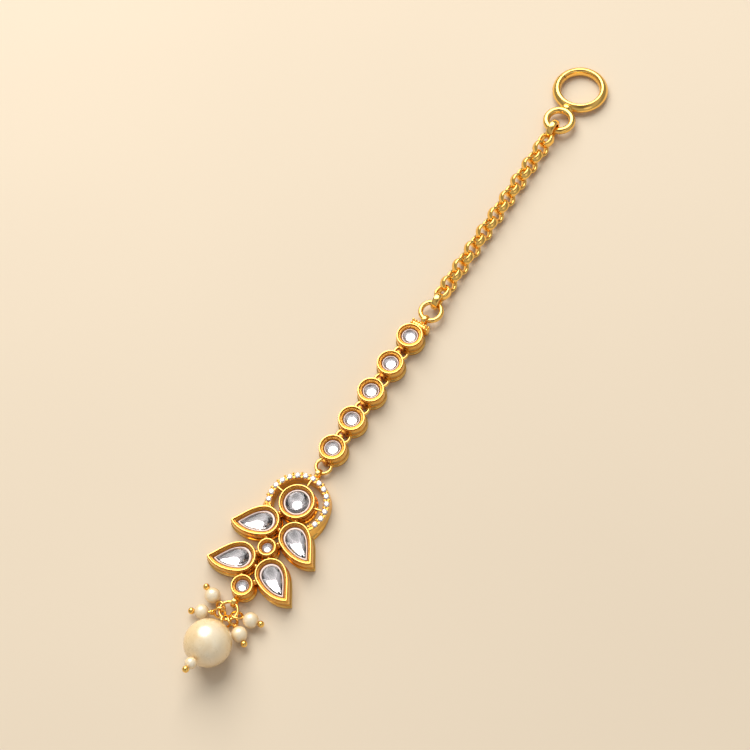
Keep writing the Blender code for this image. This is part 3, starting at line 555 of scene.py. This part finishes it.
def archBand():
    # a domed strip carried round the arc; both edges swell round each stone and pinch between them, as a
    # cosine of the angle, and the outer foot spreads towards the ends by a power of the angle past a start
    a = np.radians(np.linspace(*arch["ends"], arch["steps"]))
    pitch = stoneAngles()[1] - stoneAngles()[0]
    swell = arch["swell"] * np.cos((a - stoneAngles()[0]) / pitch * 2 * np.pi)
    knots = np.array([(-1.0, 0.0), (-1.02, 0.50), (-0.86, 0.90), (-0.90, 1.50), (-0.92, 2.00), (-0.80, 2.13),
                      (-0.45, 2.16), (0.0, 2.10), (0.45, 2.16), (0.80, 2.13), (0.92, 2.00), (0.90, 1.50),
                      (0.88, 0.90), (1.02, 0.50), (1.0, 0.0)])
    section = smoothLine(knots, 3)
    high = section[:, 1] / arch["height"]
    half = arch["foot"] + (arch["top"] - arch["foot"]) * high
    out = section[:, 0] * half
    reach = 90 - arch["ends"][0] - arch["spreadFrom"]
    past = np.clip(np.abs(np.degrees(a) - 90) - arch["spreadFrom"], 0, None) / reach
    foot = np.clip(section[:, 0], 0, 1) * np.clip(1 - high, 0, 1)
    r = arch["line"] + out[None, :] + swell[:, None] * np.sign(out) * high[None, :]
    r = r + arch["spread"] * past[:, None]**1.5 * foot[None, :]
    grid = capped(polar(r, a[:, None], section[:, 1]))
    # the band's middle, between the bead rows, is grained most, which also paints it in the grain's darker
    # shade
    grain = np.interp(np.abs(section[:, 0]), [0, 0.75, 0.9, 1.1], [0.9, 0.6, 0.1, 0.25])
    return surface(grid, grain=np.broadcast_to(grain, grid.shape[:2]))


def archProngs():
    # pairs of beads between the stones, inside and outside, and smaller grains along both edges
    a = stoneAngles()
    half = (a[1] - a[0]) / 2
    gaps = np.r_[a[0] - half, a + half]
    parts = []
    for angles, (spread, size, height) in ((gaps, arch["prongs"]), (a, arch["edgeGrains"])):
        for side in (-1, 1):
            parts.append(beadRow(polar(arch["line"] + side * spread, angles, height), size, 12, 8))
    return parts


def stripLoop(hole, wall, width, centre):
    # a flat strip with rounded edges bent to a ring that stands upright, its axis along X
    part = ringOf(hole + wall / 2, roundSection(wall, width, 20, loops["square"]), 56)
    return turnedTo(part, Matrix.Translation(centre) @ Matrix.Rotation(np.pi / 2, 4, "Y"))


def solderSpots():
    # where neighbouring cups come closest: the spot, its direction and half its length, each from two
    # centres and rim radii
    x, y = leaf["centre"]
    low = y - leaf["tier"]
    top, mid, end = (cup[:2] for cup in cups.values())
    pairs = [((x, tier), (-x, tier), leaf["end"], leaf["end"]) for tier in (y, low)]
    for hand in (1, -1):
        for (cupY, rim), tier in ((top, y), (mid, y), (mid, low), (end, low)):
            pairs.append(((0, cupY), (hand * x, tier), rim, leaf["end"]))
    spots = []
    for a, b, ra, rb in pairs:
        a, b = np.array(a, float), np.array(b, float)
        way = (b - a) / np.linalg.norm(b - a)
        gap = np.linalg.norm(b - a) - ra - rb
        spots.append(((a + way * ra + b - way * rb) / 2, np.arctan2(way[1], way[0]),
                      gap / 2 - setting["bulge"] + solder["sink"]))
    return spots


def pendantFrame():
    # every soldered part of the pendant in one mesh: cups, leaves, arch, bars, solder spots, both loops
    parts = []
    for y, rim, stone, steps, _ in cups.values():
        parts += roundSetting(stone, rim, (0, y, 0), steps)
    shell = leafSetting()
    for _, place in leafPlaces():
        parts += [turnedTo(p, place) for p in shell]
    parts.append(archBand())
    parts += archProngs()
    for degrees in bars["angles"]:
        out = np.r_[headed(degrees), 0]
        lift = bars["height"] * upward
        parts.append(rod(out * bars["start"] + lift, out * bars["end"] + lift,
                         roundSection(bars["width"], bars["depth"], 20, bars["square"])))
    for spot, turn, half in solderSpots():
        drop = globe(1.0, (0, 0, 0), 20, 12, (half, solder["radius"], solder["radius"] * solder["tall"]))
        parts.append(turnedTo(drop, Matrix.Translation((*spot, solder["height"])) @
                              Matrix.Rotation(turn, 4, "Z")))
    reach = loops["hole"] + loops["wall"] - loops["sink"]
    height = loops["hole"] + loops["wall"] + loops["lift"]
    topY = arch["line"] + loops["archEdge"] + reach
    lowY = cups["low"][0] - cups["low"][1] - setting["bulge"] - reach
    for y in (topY, lowY):
        parts.append(stripLoop(loops["hole"], loops["wall"], loops["width"], (0, y, height)))
    return makePiece("pendantFrame", parts, gold, ["pendant_frame"])


# the kundan stones: a glass dome over a dished foil with a raised border
kundan = {"seat": 1.58, "girdle": 2.46, "rise": 0.46, "riseShare": 0.34, "bend": 0.57, "flatter": 1.2,
          "leastBend": 0.02, "clear": 0.86, "depth": 0.20, "gap": 0.03}


def stoneSurfaces(loop, steps=18):
    # rings of the outline drawn in to its middle by a share s: the dome falls and the foil dish rises as s
    # squared, the dish less deep where the dome is high for its size
    middle = loop.mean(0)
    size = np.linalg.norm(loop - middle, axis=1).mean()
    rise = min(kundan["rise"], kundan["riseShare"] * size)
    deep = size / 4 * max(kundan["bend"] - kundan["flatter"] * rise / size, kundan["leastBend"])
    s = np.sin(np.linspace(0, np.pi / 2, steps))
    edge = kundan["girdle"]
    base = edge - kundan["depth"]

    def shells(share, height):
        flat = middle + share[:, None, None] * (loop - middle)[None]
        return np.concatenate([flat, np.repeat(height[:, None], len(loop), 1)[..., None]], -1)

    c = kundan["clear"]
    dome = edge + rise * (1 - s**2)
    share = np.r_[s, 1.0, 0.985, 0.0] * c
    clear = shells(share, np.r_[dome, edge - 0.12, base, base])
    k = np.linspace(0, c - kundan["gap"], steps)
    dish = base - kundan["gap"] - deep * (1 - k**2)
    share = np.r_[k, c - 0.01, c + 0.005, c + 0.01, c + 0.03, 0.965, 0.985, 0.985, 0]
    height = np.r_[dish, base - 0.01, edge - 0.05, edge + 0.02, edge + 0.05, edge + 0.01, edge - 0.06,
                   kundan["seat"], kundan["seat"]]
    tint = np.arange(len(share)) >= steps  # all outside the dish is border
    return surface(clear), surface(shells(share, height), grain=tint)


def kundanStone(node, loop, place):
    # a stone's glass and its foil as two pieces that stand for one node
    domePart, foilPart = (turnedTo(p, place) for p in stoneSurfaces(loop))
    makePiece(camelName(node) + "Glass", [domePart], glass, [node], 70)
    makePiece(camelName(node) + "Foil", [foilPart], foil, [node], 70)


def paveStone(number, angle):
    # table, star and crown facets down to a girdle, then a short pavilion: rings of 8, 16 and 16 points
    r, g = arch["stoneRadius"], arch["girdle"]
    rings = []
    for share, height, twist in ((0.0, 0.21, 0), (0.50, 0.21, 0), (0.76, 0.135, 1), (1.0, 0.03, 0),
                                 (1.0, -0.01, 0), (0.55, -0.20, 0), (0.0, -0.40, 0)):
        wave = np.where(np.arange(16) % 2 == 0, 1.0, np.cos(np.pi / 8)) if share in (0.5, 1.0) else 1.0
        rings.append(polar(r * share * wave, arc(16, np.pi / 16 * twist), g + height))
    place = Matrix.Translation(polar(arch["line"], angle, 0))
    spin = Matrix.Rotation(angle + number * 0.7, 4, "Z")
    makePiece(f"paveStone{number:02d}", [turnedTo(surface(np.stack(rings)), place @ spin)], crystal,
              [f"pave_stone_{number:02d}"], flat=True)


# the string: its stations, the small rings between them (wire is what the undercuts clear, drawn what is
# seen, cuts in degrees), the ring to the pendant, the post each ring passes, and the top station's cap
string = {"count": 5, "pitch": 6.26, "firstY": 11.46, "lean": 0.04, "rim": 2.20, "stone": 1.48}
joint = {"wire": 0.50, "drawn": 0.60, "line": 1.20, "height": 1.00, "room": 0.06, "cuts": (8, 171, 188, 12),
         "edgeRows": (0.015, 0.005)}
pendantRing = {"wire": 0.52, "drawn": 0.62, "line": 1.34, "cut": 15}
post = {"depth": 0.66, "width": 0.80, "foot": 0.20, "top": 2.40, "grain": 1.0, "square": 0.5}
cap = {"width": 3.5, "depth": 1.25, "foot": 0.30, "top": 2.45, "shift": 0.30, "sink": 0.25, "grains": 7,
       "grainRadius": 0.27, "grainSink": 0.03, "hole": 0.72, "wall": 0.38, "loopWidth": 0.80,
       "loopHeight": 1.65, "square": 0.55}


def stationPlace(k):
    # k counts up from the pendant, along a line that leans by lean times k squared
    turn = -np.arctan2(2 * string["lean"] * k, string["pitch"])
    return Matrix.Translation((string["lean"] * k * k, string["firstY"] + string["pitch"] * k, 0)) @ \
        Matrix.Rotation(turn, 4, "Z")


def holeEdge():
    # from a station's middle to the near edge of a joint ring
    return string["pitch"] / 2 - joint["line"] + joint["wire"] / 2


def undercut(part, line, wire, side):
    # points of the wall inside a flat disc of room round the ring are pushed in to the disc's edge
    p = part["points"].copy()
    centre = side * (holeEdge() + line - wire / 2)
    room = line + wire / 2 + joint["room"]
    dy = p[:, 1] - centre
    inside = (np.hypot(p[:, 0], dy) < room) & (np.abs(p[:, 2] - joint["height"]) < wire / 2 + joint["room"])
    radius = np.hypot(p[:, 0], p[:, 1])
    ux, uy = p[:, 0] / np.maximum(radius, 1e-9), p[:, 1] / np.maximum(radius, 1e-9)
    half = uy * centre
    reach = half - np.sqrt(np.maximum(half**2 - centre**2 + room**2, 0))
    p[:, 0] = np.where(inside, ux * reach, p[:, 0])
    p[:, 1] = np.where(inside, uy * reach, p[:, 1])
    return {**part, "points": p}


def stationSetting(number, k):
    # the round cup with extra rows of points at the undercuts' edges, undercut where rings pass, with posts
    line = settingSection(string["stone"], string["rim"])
    crest = int(line[:, 1].argmax())
    lip = joint["wire"] / 2 + joint["room"]
    past, short = joint["edgeRows"]
    edges = joint["height"] + np.array([lip + past, lip - short, short - lip, -lip - past])
    outer = line[crest:]
    outer = np.vstack([outer, pointsAt(-edges, -outer[:, 1], outer)])
    line = np.vstack([line[:crest], outer[np.argsort(-outer[:, 1], kind="stable")]])
    part = turnedCup(line, string["rim"], 144)
    ends = [(joint if k else pendantRing, -1)] + [(joint, 1)] * (number > 1)
    for ring, side in ends:
        part = undercut(part, ring["line"], ring["wire"], side)
    parts = [part] + settingBeads(lambda d: roundLoop(string["rim"] + d, 180))
    # the posts are wholly grained, which also paints them in the grain's darker shade
    section = roundSection(post["width"], post["depth"], 20, post["square"])
    for _, side in ends:
        y = side * (holeEdge() + 2 * joint["room"] + post["depth"] / 2)
        parts.append(rod((0, y + hair, post["foot"]), (0, y, post["top"]), section, post["grain"]))
    if number == 1:
        parts += capParts()
    place = stationPlace(k)
    return makePiece(f"stationSetting{number}", [turnedTo(p, place) for p in parts], gold,
                     [f"station_bezel_{number}"])


def capFront():
    # from the top station's middle to the cap bar's near side
    return string["rim"] + setting["bulge"] - cap["sink"]


def capLoopReach():
    # from the top station's middle to the middle of the cap's loop
    return capFront() + cap["depth"] + cap["hole"] + cap["wall"] - loops["sink"]


def capParts():
    # a rounded bar with two rows of grains on it and an upright loop behind
    front = capFront()
    middle = np.array([cap["shift"], front + cap["depth"] / 2, 0])
    half = np.array([cap["width"] / 2, 0, 0])
    lift = np.array([0, 0, (cap["foot"] + cap["top"]) / 2])
    bar = rod(middle - half + lift, middle + half + lift,
              roundSection(cap["depth"], cap["top"] - cap["foot"], 24, cap["square"]))
    across = np.linspace(-0.5, 0.5, cap["grains"]) * (cap["width"] - cap["grainRadius"])
    spots = np.vstack([np.stack([middle[0] + across, middle[1] + row * cap["depth"] / 4 + 0 * across,
                                 cap["top"] - cap["grainSink"] + 0 * across], -1) for row in (-1, 1)])
    return [bar, beadRow(spots, cap["grainRadius"], 14, 10),
            stripLoop(cap["hole"], cap["wall"], cap["loopWidth"],
                      (cap["shift"], capLoopReach(), cap["loopHeight"]))]


topRing = {"drawn": 0.92, "line": 1.87, "gap": 0.29, "height": 1.60, "cut": 168}
wireCut = {"gap": 0.035, "lean": 0.25, "pinLean": 0.2, "pinGap": 0.03, "pinAt": 28}


def jumpRing(node, line, wire, centre, cutAt, steps=72):
    # round wire carried round a circle, with a fine slanting cut
    part = ringOf(line, roundSection(wire, sides=18), steps, gap=wireCut["gap"], gapAt=np.radians(cutAt),
                  lean=wireCut["lean"])
    place = Matrix.Translation(centre)
    return makePiece(camelName(node), [turnedTo(part, place)], gold, [node])


def linkRings():
    # a ring midway between each two stations, one below the lowest and one in the cap's loop
    for k in range(string["count"] - 1):
        centre = (stationPlace(k).translation + stationPlace(k + 1).translation) / 2
        jumpRing(f"joint_ring_{string['count'] - 1 - k}", joint["line"], joint["drawn"],
                 centre + Vector((0, 0, joint["height"])), joint["cuts"][k])
    reach = holeEdge() + pendantRing["line"] - pendantRing["wire"] / 2
    jumpRing("pendant_ring", pendantRing["line"], pendantRing["drawn"],
             (0, string["firstY"] - reach, joint["height"]), pendantRing["cut"])
    top = stationPlace(string["count"] - 1) @ Vector((cap["shift"], capLoopReach(), 0))
    jumpRing("top_jump_ring", topRing["line"], topRing["drawn"],
             (top.x, top.y + topRing["line"] + topRing["gap"], topRing["height"]), topRing["cut"], 90)


# the chain: band's section and the circle it follows, the links' tilts in degrees, and the route as shares
# of the length, x and height
chain = {"thick": 0.64, "wide": 1.26, "line": 1.31, "links": 21, "tilt": 45, "secondTilt": 30, "endTilt": 88,
         "endLine": 1.63, "startY": 45.20, "length": 42.01, "square": 0.72,
         "route": ((0.0, 1.15, 1.70), (0.050, 1.10, 1.58), (0.100, 1.09, 1.48), (0.233, 1.18, 1.47),
                   (0.471, 1.43, 1.47), (0.709, 1.58, 1.47), (0.886, 1.70, 1.49), (0.938, 1.75, 1.64),
                   (1.0, 1.78, 1.99))}


def chainLinks():
    # round links at equal steps along the route, each tilted across its neighbours
    share, x, z = np.array(chain["route"]).T
    route = np.stack([x, chain["startY"] + chain["length"] * share, z], -1)
    run = wayAlong(route)
    last = chain["links"] - 1
    at = np.r_[np.arange(last) * (run[-1] - chain["endLine"] + chain["line"]) / last, run[-1]]
    spots = pointsAt(at, run, route)
    band = roundSection(chain["thick"], chain["wide"], 24, chain["square"])
    parts = []
    for i in range(chain["links"]):
        tilt = -chain["tilt"] if i % 2 == 0 else chain["tilt"]
        tilt = chain["secondTilt"] if i in (1, last - 1) else tilt
        tilt = chain["endTilt"] if i in (0, last) else tilt
        way = Vector(spots[min(i + 1, last)] - spots[max(i - 1, 0)]).normalized()
        side = way.cross(Vector(upward)).normalized()
        turn = Matrix((side, way, side.cross(way))).transposed().to_4x4()
        place = Matrix.Translation(spots[i]) @ turn @ Matrix.Rotation(-np.radians(tilt), 4, "Y")
        line = chain["endLine"] if i == last else chain["line"]
        parts.append(turnedTo(ringOf(line, band, 56), place))
    return makePiece("bandChain", parts, gold, ["chain"])


# the split ring and the small ring soldered to it; solder: radius, way past the meeting place, stretch and
# steps across and up
endRing = {"line": 4.45, "centre": (1.77, 98.37), "smallLine": 2.42, "smallWire": 1.34,
           "smallCentre": (1.74, 89.99), "farHeight": 0.88, "nearHeight": 1.55, "split": 172, "gap": 0.16,
           "lean": 0.7,
           "solder": ((0.92, 0, (1.3, 0.95, 0.92), 36, 22), (0.66, 0.25, (1.5, 0.8, 0.85), 30, 18))}


def hairRing():
    # the split ring's section, a smooth line through (out, up) points, has its crest near the hole and falls
    # away outwards; the small ring is round wire; both slope down from the chain's end
    look = endRing
    knots = np.array([(0.86, -0.20), (0.74, 0.20), (0.44, 0.58), (0.02, 0.84), (-0.30, 0.84), (-0.56, 0.62),
                      (-0.74, 0.20), (-0.80, -0.30), (-0.52, -0.74), (0.0, -0.87), (0.56, -0.72)])
    section = smoothLine(np.vstack([knots, knots[:1]]), 4)[:-1]
    large = ringOf(look["line"], section, 200, gap=look["gap"], gapAt=np.radians(look["split"]),
                   lean=look["lean"])
    offset = np.array(look["smallCentre"]) - np.array(look["centre"])
    small = turnedTo(ringOf(look["smallLine"], roundSection(look["smallWire"], sides=26), 120),
                     Matrix.Translation((*offset, 0)))
    length = np.linalg.norm(offset)
    way = offset / length
    meet = way * (look["line"] + length - look["smallLine"]) / 2
    drops = [globe(radius, (*(meet + way * past), 0), across, high, stretch)
             for radius, past, stretch, across, high in look["solder"]]
    slope = np.arctan2(look["nearHeight"] - look["farHeight"],
                       look["centre"][1] + look["line"] - look["smallCentre"][1] + look["smallLine"])
    lift = look["farHeight"] + look["line"] * np.sin(slope)
    place = Matrix.Translation((*look["centre"], lift)) @ Matrix.Rotation(-slope, 4, "X")
    return makePiece("hairRing", [turnedTo(p, place) for p in (large, small, *drops)], gold, ["end_ring"])


# the drops: the ring they hang on, their pins, and each small pearl's radius and place with where its eye
# holds the ring (degrees), how far out, the eye's size, lift and tilt
dropRing = {"line": 1.55, "drawn": 0.54, "centre": (-0.04, -21.56, 1.22), "cut": 118}
pins = {"wire": 0.46, "stem": 0.97, "ball": 0.58, "seat": 0.88, "hole": 0.25, "gap": 0.06, "wrap": 0.30,
        "overlap": 0.10, "tuck": 0.03}
pearlForm = {"uneven": 0.004, "waves": 3, "bore": (0.96, 0.97)}
smallDrops = {"a": (1.33, -3.79, 0.84, 182.7, 0.05, 0.85, -0.16, 41.5),
              "b": (1.22, -3.90, -2.39, 222.2, -0.05, 0.90, 0.01, 45.0),
              "d": (1.38, 3.87, -2.47, -34.0, 0.29, 0.89, -0.03, 42.0),
              "e": (1.37, 4.20, 0.46, 1.1, 0.15, 0.90, 0.11, 46.5)}
largeDrop = {"radius": 4.00, "offset": (0.93, -6.64), "rise": 28.5, "turn": -86.7, "eye": 0.95,
             "stem": 0.41, "below": 1.00, "tilt": 48.0}


def axisTurn(way):
    # turns Z to a direction
    return Vector(way).to_track_quat("Z", "Y").to_matrix().to_4x4()


def pearlShape(node, radius, centre, way, steps):
    # a globe with a drilled hole along its pin: latitude runs from the hole's edge to the other edge, and
    # the radius swells and shrinks by a small sine of it
    lat = np.linspace(np.arcsin(pins["hole"] / radius), np.pi - np.arcsin(pins["hole"] / radius), steps)
    uneven = 1 + pearlForm["uneven"] * np.sin(pearlForm["waves"] * lat)
    profile = np.stack([radius * np.sin(lat) * uneven, radius * np.cos(lat) * uneven], -1)
    inner = profile[[-1, 0]] * np.array(pearlForm["bore"])
    profile = np.vstack([profile, inner, profile[:1]])
    place = Matrix.Translation(centre) @ axisTurn(way)
    shell = turnedTo(revolved(profile, 2 * steps), place)
    return makePiece(camelName(node), [shell], pearl, [node], 60)


def headPin(node, eye, way, line, length, room, tilt):
    # a wire eye with a cut, as many wraps round its neck as have room before the pearl, a stem and a ball;
    # the eye's plane holds the pin and is tilted about it
    way = Vector(way).normalized()
    side = way.cross(Vector(upward)).normalized()
    upright = side.cross(way).normalized()
    tilt = np.radians(tilt)
    second = upright * np.cos(tilt) + side * np.sin(tilt)
    place = Matrix.Translation(eye) @ Matrix((way, second, way.cross(second))).transposed().to_4x4()
    ring = ringOf(line, roundSection(pins["wire"], sides=14), 60, gap=wireCut["pinGap"],
                  gapAt=np.radians(wireCut["pinAt"]), lean=wireCut["pinLean"])
    eye = np.array(eye)
    axis = np.array(way)
    stem = rod(eye + axis * line, eye + axis * length, roundSection(pins["wire"] * pins["stem"], sides=14))
    parts = [turnedTo(ring, place), stem, globe(pins["ball"], eye + axis * length, 32, 20)]
    neck = line + pins["wire"] / 2 - pins["overlap"]
    wrap = pins["wrap"]
    coil = ringOf((pins["wire"] + wrap) / 2 - pins["tuck"], roundSection(wrap, sides=12), 32)
    for k in range(max(int((room - neck) / wrap), 0)):
        at = eye + axis * (neck + (k + 0.5) * wrap)
        parts.append(turnedTo(coil, Matrix.Translation(at) @ axisTurn(way)))
    return makePiece(camelName(node), parts, gold, [node])


def pearlDrops():
    # each small pin runs from its eye on the ring through its pearl's middle; the large one rises and turns
    # by given angles and carries the small pearl below
    centre = Vector(dropRing["centre"])
    for key, (radius, x, y, angle, hold, loop, lift, tilt) in smallDrops.items():
        at = Vector((centre.x + x, centre.y + y, radius))
        held = centre + Vector(polar(dropRing["line"], np.radians(angle), lift))
        way = (at - held).normalized()
        eye = held + way * hold
        pearlShape(f"pearl_{key}", radius, at, way, 40)
        length = (at - eye).length + radius + pins["ball"] * pins["seat"]
        headPin(f"head_pin_{key}", eye, way, loop, length, (at - eye).length - radius, tilt)
    rise, turn = np.radians(largeDrop["rise"]), np.radians(largeDrop["turn"])
    way = Vector((np.cos(rise) * np.cos(turn), np.cos(rise) * np.sin(turn), np.sin(rise)))
    at = Vector((centre.x + largeDrop["offset"][0], centre.y + largeDrop["offset"][1], largeDrop["radius"]))
    pearlShape("pearl_large", largeDrop["radius"], at, way, 90)
    small = at + way * (largeDrop["radius"] + pins["gap"] + largeDrop["below"])
    pearlShape("pearl_below", largeDrop["below"], small, way, 36)
    eye = at - way * (largeDrop["radius"] + largeDrop["stem"] + largeDrop["eye"] + pins["wire"] / 2)
    headPin("head_pin_large", eye, way, largeDrop["eye"],
            (small - eye).length + largeDrop["below"] + pins["ball"] * pins["seat"],
            (at - eye).length - largeDrop["radius"], largeDrop["tilt"])
    jumpRing("drop_ring", dropRing["line"], dropRing["drawn"], dropRing["centre"], dropRing["cut"], 80)


pendantFrame()
print("pendant frame made")
for name, (y, _, stone, _, steps) in cups.items():
    kundanStone(name + "_stone", roundLoop(stone, steps), Matrix.Translation((0, y, 0)))
for name, place in leafPlaces():
    kundanStone("leaf_stone_" + name, leafLoop(-leaf["ledge"]), place)
for number, angle in enumerate(stoneAngles(), 1):
    paveStone(number, angle)
print("stones made")
for k in range(string["count"]):
    stationSetting(string["count"] - k, k)
    kundanStone(f"station_stone_{string['count'] - k}", roundLoop(string["stone"], 72), stationPlace(k))
linkRings()
print("string made")
chainLinks()
hairRing()
print("chain made")
pearlDrops()
print("drops made")


# floor and lights in metres and watts; the sky is a ramp on the cosine to skyAxis; the view in millimetres
studio = {"floor": (0.74, 0.63, 0.48), "floorDrop": 0.00002, "floorSize": 6.0, "floorRough": 0.85,
          "floorPatches": 9.0, "floorStops": ((0.3, 0.98), (0.7, 1.02)),
          "key": ((-0.47, 0.46, 0.75), 0.75, 0.80, 7.4, (1.0, 0.985, 0.96)),
          "fill": ((0.75, -0.35, 0.55), 1.0, 0.5, 0.3, (1.0, 0.93, 0.84)),
          "skyAxis": (0.30, -0.32, 0.90), "skyStrength": 0.9,
          "sky": ((0.0, (0.36, 0.35, 0.34)), (0.45, (0.34, 0.335, 0.33)), (0.66, (0.60, 0.585, 0.58)),
                  (0.84, (0.56, 0.54, 0.54)), (1.0, (0.16, 0.15, 0.15)))}
view = {"at": (78.095, -58.114, 240.382), "look": (-0.617, 26.726, 3.1), "up": (-0.43577, 0.79194, 0.42771),
        "lens": 72.0, "sensor": 36.0, "clip": (0.01, 20.0)}


def makeFloor():
    # a plain pale sheet, a hair below the flat backs
    bpy.ops.mesh.primitive_plane_add(size=studio["floorSize"], location=(0, 0, -studio["floorDrop"]))
    sheet = bpy.context.object
    sheet.name = "studioFloor"
    material, tree, shader, place = newMaterial("paleFloor", Roughness=studio["floorRough"])
    noise = addNode(tree, "TexNoise", {"Vector": place, "Scale": studio["floorPatches"], "Detail": 2.0})
    stops = [(at, tuple(c * k for c in studio["floor"])) for at, k in studio["floorStops"]]
    tree.links.new(ramp(tree, stops, noise.outputs["Fac"]), shader.inputs["Base Color"])
    sheet.data.materials.append(material)


def areaLight(name, way, distance, size, power, colour):
    # a round panel that faces the middle of the view from a direction
    data = bpy.data.lights.new(name, "AREA")
    data.shape = "DISK"
    data.size = size
    data.energy = power
    data.color = colour
    lamp = placed(name, data)
    centre = Vector(view["look"]) * mm
    lamp.location = centre + Vector(way).normalized() * distance
    lamp.rotation_euler = (lamp.location - centre).to_track_quat("Z", "Y").to_euler()


def makeStudio():
    # two panels and a soft room
    areaLight("keyPanel", *studio["key"])
    areaLight("fillPanel", *studio["fill"])
    world = bpy.data.worlds.new("softRoom")
    bpy.context.scene.world = world
    world.use_nodes = True
    tree = world.node_tree
    place = tree.nodes.new("ShaderNodeTexCoord").outputs["Generated"]
    axis = Vector(studio["skyAxis"]).normalized()
    dot = addNode(tree, "VectorMath", {0: place, 1: axis}, operation="DOT_PRODUCT")
    back = tree.nodes["Background"]
    tree.links.new(ramp(tree, studio["sky"], dot.outputs["Value"]), back.inputs["Color"])
    back.inputs["Strength"].default_value = studio["skyStrength"]


def makeCamera():
    # looks from one point at another, with an up direction
    at, look, up = (Vector(view[k]) for k in ("at", "look", "up"))
    ahead = (look - at).normalized()
    right = ahead.cross(up).normalized()
    turn = Matrix((right, right.cross(ahead), -ahead)).transposed().to_4x4()
    data = bpy.data.cameras.new("photoView")
    data.lens, data.sensor_width = view["lens"], view["sensor"]
    data.clip_start, data.clip_end = view["clip"]
    camera = placed("photoView", data)
    camera.matrix_world = Matrix.Translation(at * mm) @ turn
    bpy.context.scene.camera = camera


makeFloor()
makeStudio()
makeCamera()
bpy.context.scene.view_settings.view_transform = "Standard"
print("studio made")
